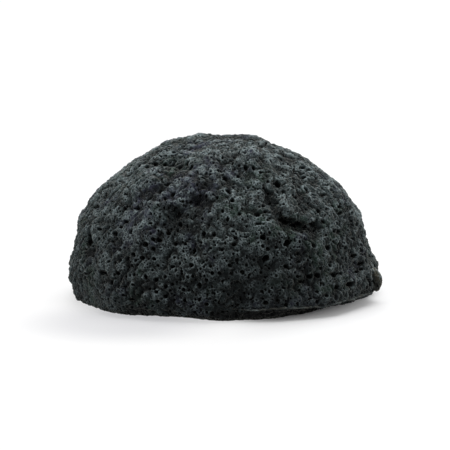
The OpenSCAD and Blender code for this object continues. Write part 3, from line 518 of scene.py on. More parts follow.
    def creases(self, p):
        """The deepest of the grooves at a point: each is a bell curve of the distance from a line, with a sharper
        one in its middle. Its upper side stands out and its lower side draws back, by the distance across times a
        bell curve."""
        fall, lean = np.zeros(len(p)), np.zeros(len(p))
        for start, end, half, depth, over in zip(*self.crease_lines):
            along = end - start
            s = np.clip((p - start) @ along / (along @ along), 0, 1)
            apart = p - start - s[:, None] * along
            away = np.linalg.norm(apart, axis=-1) / half
            broad, sharp = np.exp(-(away**2)), np.exp(-((away / CREASE_SHARP_WIDTH_SHARE) ** 2))
            fall = np.maximum(fall, depth * (CREASE_BROAD_SHARE * broad + CREASE_SHARP_SHARE * sharp))
            across = unit(np.cross(along, (start + end) * (1, 1, 0)))
            across = across * np.sign(across[2])
            lean = lean + over * depth * (apart @ across) / half * np.exp(-(away**2) / OVERHANG_SPREAD)
        return lean - fall

    def body_point(self, azimuth, tilt):
        """The lumpy surface: the smooth one with swells, lumps, creases and small hollows on it."""
        p = self.smooth_point(azimuth, tilt)
        relief = self.swells(p) + bells(p, *self.lumps) + self.creases(p) + bells(p, *self.hollows)
        return p + self.outward(azimuth, tilt) * relief[:, None]

    def side_point(self, azimuth, s):
        """The base's side, from the parting line at s = 0 to the flat face at s = 1: a quarter ellipse that is round
        where the edge lies down and hollow where it has curled up."""
        edge = np.full_like(azimuth, self.edge_tilt)
        curl = near_azimuth(azimuth, self.curl_middle, 0, self.curl_reach)
        tuck = sum(part * near_azimuth(azimuth, middle, 0, reach) for middle, reach, part in BASE_TUCK_SHARES)
        inset = (self.base_inset * math.cos(math.radians(self.part_turn)) + self.curl_inset * curl
                 + self.tuck_inset * tuck)
        curl = np.maximum(curl, TUCK_HOLLOW_SHARE * tuck)
        t = np.radians(90 * s)
        drawn = inset * ((1 - curl) * (1 - np.cos(t)) + curl * np.sin(t))
        p = self.body_point(azimuth, edge) - self.outward(azimuth, edge) * drawn[:, None]
        p[:, 2] = self.base_t * ((1 - curl) * (1 - np.sin(t)) + curl * np.cos(t))
        return p


def mixed(cells, seed):
    """Whole numbers of lattice cells stirred into 64 bits."""
    c = cells.astype(np.int64).view(np.uint64)
    h = (c[..., 0] * np.uint64(0x9E3779B97F4A7C15) ^ c[..., 1] * np.uint64(0xC2B2AE3D27D4EB4F)
         ^ c[..., 2] * np.uint64(0x165667B19E3779F9)) + np.uint64(seed * 2654435761 % 2**63)
    h = (h ^ (h >> np.uint64(31))) * np.uint64(0xBF58476D1CE4E5B9)
    h = (h ^ (h >> np.uint64(29))) * np.uint64(0x94D049BB133111EB)
    return h ^ (h >> np.uint64(32))


def bits(h, part):
    """Share from 0 to 1 out of one of the three parts of those bits."""
    return ((h >> np.uint64(21 * part)) & np.uint64(0x1FFFFF)).astype(float) / 0x1FFFFF


def noise(p, size, seed):
    """Gradient noise: at each corner of a lattice cell a hashed slope, blended by quintic steps. About -1 to 1."""
    q = p / size
    base = np.floor(q)
    f = q - base
    w = f * f * f * (f * (f * 6 - 15) + 10)
    total = np.zeros(len(p))
    for corner in itertools.product((0, 1), repeat=3):
        h = mixed(base + corner, seed)
        d = f - corner
        slope = sum((2 * bits(h, k) - 1) * d[:, k] for k in range(3))
        total += np.prod(np.where(corner, w, 1 - w), axis=-1) * slope
    return total * NOISE_GAIN


def noises(p, parts):
    """Sum of noises, each given by its share, size and seed."""
    return sum(part * noise(p, size, seed) for part, size, seed in parts)


def ridges(p, parts):
    """Sum of noises without their signs: rounded clumps with sharp valleys between them."""
    return sum(part * np.abs(noise(p, size, seed)) for part, size, seed in parts)


def opened(p, way, centre, radius, stretch, wall_w):
    """One bubble at each point. A bubble is a ball, drawn out inwards by stretch. Where a point of the surface lies
    in it, the point goes along its own inward direction to the ball's far side. Returns that depth, softened over
    wall_w from the opening's edge, and the distance inside the edge."""
    q = p - centre
    above = dot(q, way)
    beside = np.maximum(dot(q, q) - above**2, 0)
    mouth = radius**2 - (above / stretch) ** 2
    inside = np.where(mouth > 0, np.sqrt(np.maximum(mouth, 0)) - np.sqrt(beside), FAR_OUT)
    depth = above + stretch * np.sqrt(np.maximum(radius**2 - beside, 0))
    return np.where(inside > 0, depth * ease(inside / wall_w), 0), inside


def bubbles(p, way, pitch, least, most, stretch, wall_w, seed, room=1.0):
    """The foam's bubbles of one size: one in each cell of a lattice, off its middle, with radius between least and
    most shares of the pitch. They are small enough that only the eight cells nearest to a point can reach it.
    room is the share of their size that they have. Returns the deepest fall and the greatest distance inside an
    edge."""
    cell = np.floor(p / pitch - 0.5)
    fall, inside = np.zeros(len(p)), np.full(len(p), FAR_OUT)
    for step in itertools.product((0, 1), repeat=3):
        at = cell + step
        h, g = mixed(at, seed), mixed(at, seed + 7)
        stray = BUBBLE_STRAY_SHARE * (np.stack([bits(h, k) for k in range(3)], -1) - 0.5)
        radius = pitch * (least + (most - least) * bits(g, 0) ** 2) * room
        depth, edge = opened(p, way, (at + 0.5 + stray) * pitch, radius, stretch, wall_w)
        fall, inside = np.maximum(fall, depth), np.maximum(inside, edge)
    return fall, inside


def vertex_normals(p, faces):
    """Area-weighted normals of four-sided faces, from the cross product of each face's diagonals."""
    n = np.cross(p[faces[:, 2]] - p[faces[:, 0]], p[faces[:, 3]] - p[faces[:, 1]])
    return unit(np.stack([np.bincount(faces.ravel(), np.repeat(n[:, k], 4), len(p)) for k in range(3)], -1))


def blurred(value, faces, times):
    """A number of each vertex, averaged with its neighbours along the faces' edges, several times over."""
    a, b = faces.ravel(), np.roll(faces, -1, axis=1).ravel()
    count = np.bincount(a, minlength=len(value)) + np.bincount(b, minlength=len(value))
    for _ in range(times):
        near = np.bincount(a, value[b], len(value)) + np.bincount(b, value[a], len(value))
        value = 0.5 * value + 0.5 * near / np.maximum(count, 1)
    return value


def ring_place(u, v):
    """Square to rings: a point on the square of half side r goes to the ring of radius r, and the square's border
    runs once round. Returns the azimuth in degrees and r."""
    across = np.abs(u) >= np.abs(v)
    safe_u, safe_v = np.where(u == 0, 1, u), np.where(v == 0, 1, v)
    azimuth = np.where(across, 45 * v / safe_u + np.where(u < 0, 180, 0),
                       90 - 45 * u / safe_v + np.where(v < 0, 180, 0))
    r = np.maximum(np.abs(u), np.abs(v))
    return np.where(r == 0, 0, azimuth), r


class Disc:
    """Grid of a disc: a square patch whose squares become rings, and round it rows of 4 n cells each. Holds each
    vertex's azimuth, its ring (0 the middle, 1 the edge) and its place on the square, for the map."""

    def __init__(self, n, rows, patch):
        i, j = np.meshgrid(np.arange(n + 1), np.arange(n + 1), indexing="ij")
        u, v = (2 * i / n - 1).ravel(), (2 * j / n - 1).ravel()
        azimuth, ring = ring_place(u, v)
        at = i * (n + 1) + j
        border = np.concatenate([at[:-1, 0], at[-1, :-1], at[:0:-1, -1], at[0, :0:-1]])
        k = np.arange(4 * n)
        row = (np.arange(rows) + 1) / rows
        self.azimuth = np.concatenate([azimuth, np.tile(start_azimuths(n), rows)])
        self.ring = np.concatenate([ring * patch, np.repeat(patch + (1 - patch) * row, 4 * n)])
        square = np.stack([u, v], -1)
        self.square = np.concatenate([square * patch] + [square[border] * (patch + (1 - patch) * s) for s in row])
        quads = np.stack([at[:-1, :-1], at[1:, :-1], at[1:, 1:], at[:-1, 1:]], -1).reshape(-1, 4)
        loops = [border] + [len(u) + r * 4 * n + k for r in range(rows)]
        self.faces = np.concatenate([quads, bands(loops)])
        self.edge = loops[-1]


def start_azimuths(n):
    """Azimuths of the 4 n points of a ring, from the corner of the square patch on."""
    return -135 + 90 * np.arange(4 * n) / n


def bands(loops):
    """Four-sided faces from each loop of points to the next."""
    return np.concatenate([np.stack([a, b, np.roll(b, -1), np.roll(a, -1)], -1) for a, b in zip(loops, loops[1:])])


def stitched(outer, inner):
    """Triangles between a loop and one inside it that has half as many points."""
    a, b, c = outer[0::2], outer[1::2], np.roll(outer[0::2], -1)
    d, e = inner, np.roll(inner, -1)
    return np.concatenate([np.stack([a, d, b], -1), np.stack([b, d, e], -1), np.stack([b, e, c], -1)])


def as_quads(triangles):
    """Triangles with their last corner twice, for what asks for four."""
    return triangles[:, [0, 1, 2, 2]]


def lofted(rings):
    """Closed surface through rings of points, rows by ring by place: quads from ring to ring, and a fan of triangles
    to the middle of each end. Returns its points, quads, triangles, map places and normals."""
    rows, m = rings.shape[:2]
    at = np.arange(rows * m).reshape(rows, m)
    quads = np.stack([at[:-1], at[1:], np.roll(at[1:], -1, axis=1), np.roll(at[:-1], -1, axis=1)], -1).reshape(-1, 4)
    ends = np.concatenate([np.stack([np.full(m, rows * m), at[0], np.roll(at[0], -1)], -1),
                           np.stack([np.full(m, rows * m + 1), np.roll(at[-1], -1), at[-1]], -1)])
    points = np.concatenate([rings.reshape(-1, 3), rings[[0, -1]].mean(1)])
    u, v = np.meshgrid(np.linspace(0.02, 0.98, rows), np.linspace(0.02, 0.98, m), indexing="ij")
    places = np.concatenate([np.stack([u, v], -1).reshape(-1, 2), [[0.005, 0.5], [0.995, 0.5]]])
    return points, quads, ends, places, vertex_normals(points, np.concatenate([quads, as_quads(ends)]))


def new_piece(name, points, quads, triangles, places, values, material, node, slot):
    """Puts a closed surface into a new object: points in millimetres, one map place a vertex, values by vertex."""
    mesh = bpy.data.meshes.new(name)
    corners = np.concatenate([quads.ravel(), triangles.ravel()]).astype(np.int32)
    counts = np.concatenate([np.full(len(quads), 4), np.full(len(triangles), 3)]).astype(np.int32)
    mesh.vertices.add(len(points))
    mesh.vertices.foreach_set("co", (points * MM).astype(np.float32).ravel())
    mesh.loops.add(len(corners))
    mesh.loops.foreach_set("vertex_index", corners)
    mesh.polygons.add(len(counts))
    mesh.polygons.foreach_set("loop_start", (np.cumsum(counts) - counts).astype(np.int32))
    mesh.update(calc_edges=True)
    mesh.validate()
    layer = mesh.uv_layers.new(name=BAKE_MAP)
    layer.uv.foreach_set("vector", places[corners].astype(np.float32).ravel())
    for key, value in values.items():
        attribute = mesh.attributes.new(key, "FLOAT", "POINT")
        attribute.data.foreach_set("value", value.astype(np.float32))
    mesh.shade_smooth()
    mesh.materials.append(material)
    piece = bpy.data.objects.new(name, mesh)
    bpy.context.scene.collection.objects.link(piece)
    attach(piece, BODY)
    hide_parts(*node)


def new_capped_piece(name, points, quads, triangles, loop, height, upward, square, values, *rest):
    """A piece whose open side is closed at the parting line: its edge loop, which runs against the clock from above,
    is set level and joined to a vertex in its middle. The map shows it above a strip that the hidden cap has."""
    points[loop, 2] = height
    centre = np.append(points[loop].mean(0)[:2], height)
    middle, after = np.full_like(loop, len(points)), np.roll(loop, -1)
    cap = np.stack([middle, loop, after] if upward else [middle, after, loop], -1)
    places = np.stack([0.5 + MAP_HALF * square[:, 0],
                       (1 + CAP_STRIP) / 2 + (MAP_HALF - CAP_STRIP / 2) * square[:, 1]], -1)
    new_piece(name, np.concatenate([points, [centre]]), quads, np.concatenate([triangles, cap]),
              np.concatenate([places, [CAP_PLACE]]), {k: np.append(v, 0) for k, v in values.items()}, *rest)


class Foam:
    """What the foam adds to a surface: folds, bubbles cut open, raised rims and grain."""

    def __init__(self, form, pores):
        self.form = form
        take_values(self, pores)
        seen = form.found_at(FRONT_PORES, form.body_point)
        self.marks = list(zip(form.body_point(*seen.T), form.outward(*seen.T),
                              form.pixel * FRONT_PORES[:, 2:4] / 2 * MARK_SIZE_SHARE, np.radians(FRONT_PORES[:, 4])))

    def marked(self, p):
        """The pores that the photograph shows: each an oval ball, turned in the skin's plane, and drawn out there
        so that the camera sees its oval. Returns the deepest fall, the greatest distance inside an edge, and how
        near such pores are."""
        fall, inside, near_share = np.zeros(len(p)), np.full(len(p), FAR_OUT), np.zeros(len(p))
        for at, out, (a, b), turn in self.marks:
            away = ((p - at) ** 2).sum(-1)
            near_share += np.exp(-away / MARK_REACH**2)
            level = unit(np.cross((0, 0, 1), out))
            up = np.cross(out, level)
            wide, high = (max(MARK_LEAST_SHARE, abs(part)) for part in (level[0], up @ self.form.eye_up))
            near = np.flatnonzero(away < (2 * max(a, b) / min(wide, high)) ** 2)
            q = p[near] - at
            across, upward = q @ level * wide, q @ up * high
            x = across * math.cos(turn) + upward * math.sin(turn)
            y = upward * math.cos(turn) - across * math.sin(turn)
            radius = math.sqrt(a * b)
            wall = self.wall_w + MARK_WALL_SHARE * max(0, radius - MARK_WALL_FROM)
            beside = (x / a) ** 2 + (y / b) ** 2
            ball = np.sqrt(np.maximum(1 / (1 - MARK_SINK_SHARE**2) - beside, 0))
            deep = MARK_DEPTH_SHARE - MARK_TOP_LESS_SHARE * out[2] ** 2
            depth = q @ out + radius * (MARK_SINK_SHARE + deep * ball)
            edge = (1 - np.sqrt(beside)) * radius
            fall[near] = np.maximum(fall[near], np.where(edge > 0, depth * ease(edge / wall), 0))
            inside[near] = np.maximum(inside[near], edge)
        return fall, inside, np.minimum(1, near_share)

    def cut(self, p, way):
        """Falls and rises of the foam at each point. Returns how far the point moves outwards, how deep it lies in
        a pore, and how far it lies inside a pore's edge."""
        q = p + np.stack([noises(p, parts) for parts in WARP_NOISES], -1)
        fall, inside, near = self.marked(q)
        for pitch, least, most, stretch, wall, less, seed in BUBBLES:
            depth, edge = bubbles(q, way, getattr(self, pitch), least, most, stretch, self.wall_w * wall, seed,
                                  room=1 - less * near)
            fall, inside = np.maximum(fall, depth), np.maximum(inside, edge)
        grain = self.grain_h * (GRAIN_MEAN - ridges(p, GRAIN_RIDGES) + noises(p, GRAIN_NOISES))
        rim = np.exp(-((np.minimum(inside, 0) + RIM_AT) / RIM_W) ** 2) * (inside < RIM_END)
        return grain + self.rim_up * rim - fall, fall, inside

    def dress(self, p, way, faces, held):
        """The whole foam on a surface, along the directions way: folds first, which are clumps over a slow noise,
        then what is cut into them. held: where folds are kept low, 1 for most. Returns the new points and what the
        material asks of them."""
        fold = noises(p, FOLD_SWELLS) + ridges(p, FOLD_RIDGES) - FOLD_MEAN
        fold = np.where(fold > 0, CREST_SHARE * fold, VALLEY_SHARE * fold)
        folded = p + way * (self.fold_h * (fold + FOLD_LIFT) * (1 - HELD_SHARE * held))[:, None]
        out, fall, inside = self.cut(folded, way)
        # Painted shade and highlight: the height of small hollows and crowns and the depth of creases go into the fold
        # value, which darkens valleys and creases and pales crests in the colour
        fold = (fold + HOLLOW_SHADE_SHARE * bells(p, *self.form.hollows) / self.form.hollow_h
                + self.form.creases(p) / self.form.crease_depth)
        casts = FRONT_CASTS
        places = self.form.body_point(*self.form.found_at(casts, self.form.body_point).T)
        reach, green, violet = self.form.pixel * casts[:, 2], casts[:, 3], casts[:, 4]
        return folded + way * out[:, None], {
            "fall": fall, "edge": np.maximum(inside, -1), "proud": out - blurred(out, faces, BLUR_TIMES), "fold": fold,
            "teal": noises(p, TEAL_NOISES) + bells(p, places, reach, green - OTHER_CAST_SHARE * violet),
            "plum": noises(p, PLUM_NOISES) + bells(p, places, reach, violet - OTHER_CAST_SHARE * green)}


class Sock:
    """A socket of a shader node, with the operators of numbers."""

    def __init__(self, maker, socket):
        self.maker, self.socket = maker, socket

    def _math(self, operation, *values):
        return self.maker.node("ShaderNodeMath", {"operation": operation}, *values)

    def __add__(self, other):
        return self._math("ADD", self, other)

    def __sub__(self, other):
        return self._math("SUBTRACT", self, other)

    def __rsub__(self, other):
        return self._math("SUBTRACT", other, self)

    def __mul__(self, other):
        return self._math("MULTIPLY", self, other)

    __radd__, __rmul__ = __add__, __mul__

    def above(self, low, high):
        """Smooth step from 0 at low to 1 at high."""
        return self.maker.node("ShaderNodeMapRange", {"interpolation_type": "SMOOTHSTEP"}, self, low, high, 0.0, 1.0)


class Maker:
    """A material under construction."""

    def __init__(self, name):
        self.material = bpy.data.materials.new(name)
        self.material.use_nodes = True
        self.tree = self.material.node_tree
        self.tree.nodes.clear()

    def node(self, kind, settings, *values, out=0, **named):
        """Makes a node: settings first, then values or links for its sockets in order, and by name. Returns its
        output."""
        made = self.tree.nodes.new(kind)
        for key, value in settings.items():
            setattr(made, key, value)
        asked = [*zip([s for s in made.inputs if s.enabled], values)]
        asked += [(made.inputs[key.replace("_", " ")], value) for key, value in named.items()]
        for socket, value in asked:
            if isinstance(value, Sock):
                self.tree.links.new(value.socket, socket)
            else:
                socket.default_value = value
        outputs = [s for s in made.outputs if s.enabled]
        return Sock(self, outputs[out]) if outputs else made

    def value(self, name):
        """A number that the mesh holds by vertex."""
        return self.node("ShaderNodeAttribute", {"attribute_name": name}, out=2)

    def mix(self, share, a, b):
        """Colour a turned into colour b by a share."""
        a, b = [c if isinstance(c, Sock) else (*c, 1) for c in (a, b)]
        return self.node("ShaderNodeMix", {"data_type": "RGBA"}, share, a, b)

    def noise(self, place, scale, detail, rough, out=0):
        """Blender's noise, from 0 to 1, with its scale in cells a metre; with out=1, three of them as a vector."""
        return self.node("ShaderNodeTexNoise", {}, place, out=out, Scale=scale, Detail=detail, Roughness=rough)


def foam_material(name, colours, web_share, torn_share=0.0, torn=(0, 0, 0)):
    """Charcoal foam: pale webs where the surface stands proud, round the pores and along fine threads, partly painted
    glints; dark inside the pores, the foam's darker inside with painted shade that deepens with their depth; painted
    shade in the valleys, creases and hollows and at the foot; broad casts of teal and plum, and a fine fibrous bump.
    torn_share of the foam has the colour torn."""
    m = Maker(name)
    whole = 1 - torn_share
    place = m.node("ShaderNodeTexCoord", {}, out=3)
    proud, fall, fold, edge, teal, plum = (m.value(k) for k in ("proud", "fall", "fold", "edge", "teal", "plum"))
    foam, web, deep = tuple(colours.foam), tuple(colours.web), tuple(colours.deep)
    shade = m.mix(teal.above(*CAST_STEP), foam, tuple(colours.teal))
    shade = m.mix(plum.above(*CAST_STEP), shade, tuple(colours.plum))
    shade = m.mix(torn_share, shade, tuple(torn))
    shade = m.mix(m.noise(place, *BLOTCH).above(*BLOTCH_STEP) * (DARK_BLOTCH * whole), shade, deep)
    shade = m.mix(m.noise(place, *CLOUD).above(*CLOUD_STEP) * (DARK_CLOUD * whole), shade, deep)
    # Pale threads, partly painted glints, run along the edges of small cells, whose pattern is bent so that they
    # aren't straight
    bent = m.node("ShaderNodeVectorMath", {"operation": "MULTIPLY_ADD"}, m.noise(place, *BEND, out=1),
                  (BEND_REACH, BEND_REACH, BEND_REACH), place)
    net = m.node("ShaderNodeTexVoronoi", {"feature": "DISTANCE_TO_EDGE"}, bent, Scale=NET_SCALE)
    thread = 1 - net.above(*NET_STEP)
    ring = edge.above(*RING_STEP) * (1 - edge.above(*RING_END_STEP))
    # Pale webs, rims, threads and specks, partly painted glints; the fold value keeps them on crests and takes them
    # from valleys, as painted highlight and shade
    pale = (proud.above(*PROUD_STEP) * PALE_PROUD + ring * PALE_RING + thread * PALE_THREAD
            + m.noise(place, *SPECK).above(*SPECK_STEP) * PAINTED_GLINT_SPECK)
    pale = pale * (m.noise(place, *PATCH).above(*PATCH_STEP) * PATCH_SHARE + PATCH_LEAST)
    pale = pale * (fold.above(*FOLD_STEP) + FOLD_LEAST)
    shade = m.mix((pale + ring * PALE_RING_LEAST) * web_share, shade, web)
    # Painted shade: the valleys of the folds, the creases, the small hollows and the base's recesses are darkened
    shade = m.mix(fold.above(*PAINTED_VALLEY_SHADE_STEP) * PAINTED_VALLEY_SHADE, shade, deep)
    # The pores are darkened inside: partly the foam's darker inside, partly painted shade that deepens with the pore's
    # depth
    shade = m.mix(edge.above(*PORE_STEP) * (fall.above(*PORE_PAINTED_SHADE_STEP) * PORE_PAINTED_SHADE + DARK_PORE_LEAST), shade, deep)
    # Painted shade: the foot of the sponge is darkened, where light from above reaches least, most of all in a broad
    # patch right of the middle
    across, height = (m.node("ShaderNodeSeparateXYZ", {}, place, out=k) for k in (0, 2))
    right = across.above(*PAINTED_RIGHT_SHADE_STEP) * across.above(*PAINTED_RIGHT_SHADE_END_STEP)
    low = height.above(*PAINTED_FOOT_SHADE_STEP) * (1 - PAINTED_FOOT_SHADE_LEAST) + PAINTED_FOOT_SHADE_LEAST
    shade = m.mix((right * PAINTED_RIGHT_SHADE + PAINTED_FOOT_SHADE) * low * whole, shade, deep)
    fibre = m.noise(place, *FIBRE)
    bump = m.node("ShaderNodeBump", {}, Strength=1.0, Distance=BUMP_H,
                  Height=fibre * BUMP_FIBRE + m.noise(place, *COARSE) + thread * BUMP_THREAD)
    shader = m.node("ShaderNodeBsdfPrincipled", {}, Base_Color=shade, Roughness=fibre * ROUGH_FIBRE + ROUGH_LEAST,
                    Normal=bump, Specular_IOR_Level=SPECULAR, Sheen_Weight=SHEEN, Sheen_Roughness=SHEEN_ROUGH,
                    Sheen_Tint=(*colours.fuzz, 1))
    m.node("ShaderNodeOutputMaterial", {}, shader)
    return m.material


def form_of(context):
    """The form that the scene's properties ask for."""
    return Form(context.scene.sponge_sizes, context.scene.sponge_stage)


class SPONGE_OT_dome(bpy.types.Operator):
    """Build the dome of foam down to the parting line: the lumpy half ball over a disc's azimuths and tilts"""

    bl_idname = "sponge.dome"
    bl_label = "Build dome"

    def execute(self, context):
        form = form_of(context)
        foam = Foam(form, context.scene.sponge_pores)
        disc = Disc(foam.cells, int(foam.cells * DOME_ROWS_SHARE), DOME_PATCH_SHARE)
        tilt = disc.ring * form.edge_tilt
        p = form.body_point(disc.azimuth, tilt)
        level = ease((p[:, 2].min() + SETTLE_H - p[:, 2]) / SETTLE_H)
        level[disc.edge] = 1
        way = unit(vertex_normals(p, disc.faces) * (1 - level[:, None])
                   + form.outward(disc.azimuth, tilt) * level[:, None])
        points, values = foam.dress(p, way, disc.faces, level)
        new_capped_piece("foam_dome", points, disc.faces, np.empty((0, 3), int), disc.edge, form.base_t, False,
                         disc.square, values, foam_material("skin_foam", context.scene.sponge_colours, web_share=1.0),
                         ("foam_core", "dome_skin"), "skin_foam")
        return {"FINISHED"}


class SPONGE_OT_base(bpy.types.Operator):
    """Build the base: the lower edge, a quarter ellipse carried round, and the flat face that the sponge rests on"""

    bl_idname = "sponge.base"
    bl_label = "Build base"

    def execute(self, context):
        form = form_of(context)
        foam = Foam(form, context.scene.sponge_pores)
        n, rows = foam.cells, int(foam.cells * SIDE_ROWS_SHARE)
        # The flat face is a disc with half as many cells round it as the side, which is rows of 4 n cells
        disc = Disc(n // 2, n // 8, FLAT_PATCH_SHARE)
        side = np.repeat(np.arange(rows) / rows, 4 * n)
        around = np.tile(start_azimuths(n), rows)
        flat = form.side_point(disc.azimuth, np.ones(len(disc.azimuth)))
        flat[:, :2] *= disc.ring[:, None]
        p = np.concatenate([flat, form.side_point(around, side)])
        turn = np.concatenate([disc.azimuth, around])
        loops = len(flat) + np.arange(rows)[:, None] * 4 * n + np.arange(4 * n)
        seam = stitched(loops[-1], disc.edge)
        quads = np.concatenate([disc.faces[:, ::-1], bands(loops)])
        both = np.concatenate([quads, as_quads(seam)])
        down = np.concatenate([np.ones(len(flat)), ease((side - SIDE_DOWN_SHARE) / (1 - SIDE_DOWN_SHARE))])
        level = np.concatenate([np.zeros(len(flat)), ease(1 - side / SIDE_LEVEL_SHARE)])
        normal = unit(vertex_normals(p, both) - LEAN_SHARE * down[:, None] * (0, 0, 1))
        way = unit(normal * (1 - level[:, None])
                   + form.outward(turn, np.full(len(p), form.edge_tilt)) * level[:, None])
        points, values = foam.dress(p, way, both, level)
        calm = CALM_SHARE * near_azimuth(turn, *CALM)
        calm *= np.concatenate([ease((disc.ring - CALM_RING_FROM) / (1 - CALM_RING_FROM)),
                                ease((side - CALM_SIDE_FROM) / CALM_SIDE_REACH)])
        points = points + (p - points) * calm[:, None]
        points[:, 2] = np.maximum(points[:, 2], 0)
        # Painted shade: the base's side under the front and under the curled edge is darkened through its fold, edge
        # and fall values
        painted_recess_shade = np.maximum(near_azimuth(around, *CURL_SHADE) * ease(CURL_SHADE_RATE * side),
                          near_azimuth(around, *FRONT_SHADE) * ease(FRONT_SHADE_RATE * side))
        fold, edge, fall = (values[k][len(flat):] for k in ("fold", "edge", "fall"))
        fold -= SHADE_FOLD * painted_recess_shade
        edge += painted_recess_shade * np.maximum(0, SHADE_EDGE - edge)
        fall += SHADE_FALL * painted_recess_shade
        border = disc.square[disc.edge]
        ring = np.stack([np.interp(np.arange(4 * n), np.arange(0, 4 * n + 1, 2), np.append(border[:, k], border[0, k]))
                         for k in range(2)], -1)
        square = np.concatenate([disc.square * SIDE_MAP_SHARE]
                                + [ring * (1 - (1 - SIDE_MAP_SHARE) * r / rows) for r in range(rows)])
        new_capped_piece("foam_base", points, quads, seam, loops[0], form.base_t, True, square, values,
                         foam_material("base_foam", context.scene.sponge_colours, web_share=0.9),
                         ("base_layer",), "base_foam")
        return {"FINISHED"}


class SPONGE_OT_lip(bpy.types.Operator):
    """Build the thin torn lip: a flat oval carried along the parting line, its reach torn by waves and noise"""

    bl_idname = "sponge.lip"
    bl_label = "Build lip"

    def execute(self, context):
        form, colours, rows = form_of(context), context.scene.sponge_colours, context.scene.sponge_pores.cells
        a = np.linspace(form.flash_from, form.flash_to, rows)
        edge = np.full(rows, form.edge_tilt)
        root, way = form.body_point(a, edge), form.outward(a, edge)
        tear = TEAR_MEAN_SHARE + noises(root, TEAR_NOISES) + sum(
            part * np.sin(np.radians(a * waves + phase)) for part, waves, phase in TEAR_WAVES)
        fade = np.sin(np.pi * np.linspace(0, 1, rows)) ** END_POWER
        reach = form.flash_w * np.clip(tear, TEAR_LEAST_SHARE, TEAR_MOST_SHARE) * fade
        # x runs from 0 inside the foam to 1 at the torn edge, and round again
        turn = 2 * np.pi * np.arange(LIP_POINTS) / LIP_POINTS
        x = 0.5 + 0.5 * np.cos(turn)
        along = (reach[:, None] + LIP_IN) * x - LIP_IN
        thick = form.flash_root_t * (1 - x) + form.flash_tip_t * x
        half = thick * (END_T_SHARE + (1 - END_T_SHARE) * fade[:, None]) / 2
        droop = noises(root, DROOP_NOISES)[:, None] * (DROOP_ROOT_SHARE + (1 - DROOP_ROOT_SHARE) * x)
        rings = root[:, None] + way[:, None] * along[..., None]
        rings[..., 2] = (form.base_t + LIP_OVER + droop
                         + half * np.sign(np.sin(turn)) * np.abs(np.sin(turn)) ** EDGE_POWER)
        points, quads, ends, places, normal = lofted(rings)
        points = points + normal * noises(points, LIP_NOISES)[:, None]
        values = {"edge": np.full(len(points), -1), "proud": LIP_PALE * np.append(np.tile(x, rows), [0, 0])}
        new_piece("foam_lip", points, quads, ends, places, values,
                  foam_material("lip_foam", colours, web_share=0.9, torn_share=0.5, torn=colours.torn),
                  ("rim_flash",), "edge_foam")
        return {"FINISHED"}


class SPONGE_OT_nub(bpy.types.Operator):
    """Build the nub at the lip's right end: ovals stacked from its top down, widest in the middle, with cells"""

    bl_idname = "sponge.nub"
    bl_label = "Build nub"

    def execute(self, context):
        form, colours = form_of(context), context.scene.sponge_colours
        w = (np.arange(NUB_ROWS) + 0.5) / NUB_ROWS
        top, bottom = form.rim_h + NUB_TOP_SHARE * form.nub_h, form.rim_h - NUB_BOTTOM_SHARE * form.nub_h
        z = top + (bottom - top) * w
        azimuth = np.full(NUB_ROWS, form.nub_azimuth)
        tilt = np.where(z > form.rim_h, np.degrees(np.arccos(np.clip((z - form.rim_h) / form.dome_h, 0, 1))), 90)
        seat, way = form.body_point(azimuth, tilt), form.outward(azimuth, np.full(NUB_ROWS, 90.0))
        side = np.cross((0, 0, 1), way)
        swell = (1 - np.abs(2 * w - 1) ** NUB_END_POWER) ** 0.5
        off = form.nub_w * (NUB_OFF_SHARE + NUB_FURTHER_SHARE * ease(2 * w))
        thick = NUB_THICK_SHARE * form.nub_w * swell
        wide = NUB_WIDE_SHARE * form.nub_h * swell * (1 - NUB_NARROW_SHARE * w)
        turn = 2 * np.pi * np.arange(NUB_POINTS) / NUB_POINTS
        rings = (seat[:, None] + way[:, None] * (off[:, None] + thick[:, None] * np.cos(turn))[..., None]
                 + side[:, None] * (wide[:, None] * np.sin(turn))[..., None])
        rings[..., 2] = z[:, None]
        points, quads, ends, places, normal = lofted(rings)
        fall, inside = bubbles(points, normal, **NUB_BUBBLES)
        hollow = rings[int(NUB_ROWS * NUB_HOLLOW_ALONG), int(NUB_POINTS * NUB_HOLLOW_ROUND)]
        rise = (noises(points, NUB_NOISES) - NUB_FALL_SHARE * fall
                - bells(points, [hollow], [NUB_HOLLOW_SHARE * form.nub_w], [NUB_HOLLOW_H]))
        # Painted shade on the nub's back, where it lies against the body, and a painted highlight on its top
        painted_back_shade = np.append(np.tile(np.maximum(0, -np.cos(turn)), NUB_ROWS), [0, 0])
        high = np.append(np.repeat(1 - w, NUB_POINTS), [1, 0])
        values = {"fall": np.maximum(0, -rise) + painted_back_shade, "proud": rise * NUB_PROUD_SHARE,
                  "edge": np.maximum(NUB_BACK_PAINTED_SHADE * painted_back_shade - NUB_EDGE - rise, inside),
                  "fold": rise * NUB_FOLD_SHARE + NUB_TOP_PAINTED_LIGHT * high - NUB_FOLD_LESS}
        new_piece("foam_nub", points + normal * rise[:, None], quads, ends, places, values,
                  foam_material("nub_foam", colours, web_share=0.9, torn_share=0.95, torn=colours.tab),
                  ("rim_nub",), "edge_foam")
        return {"FINISHED"}


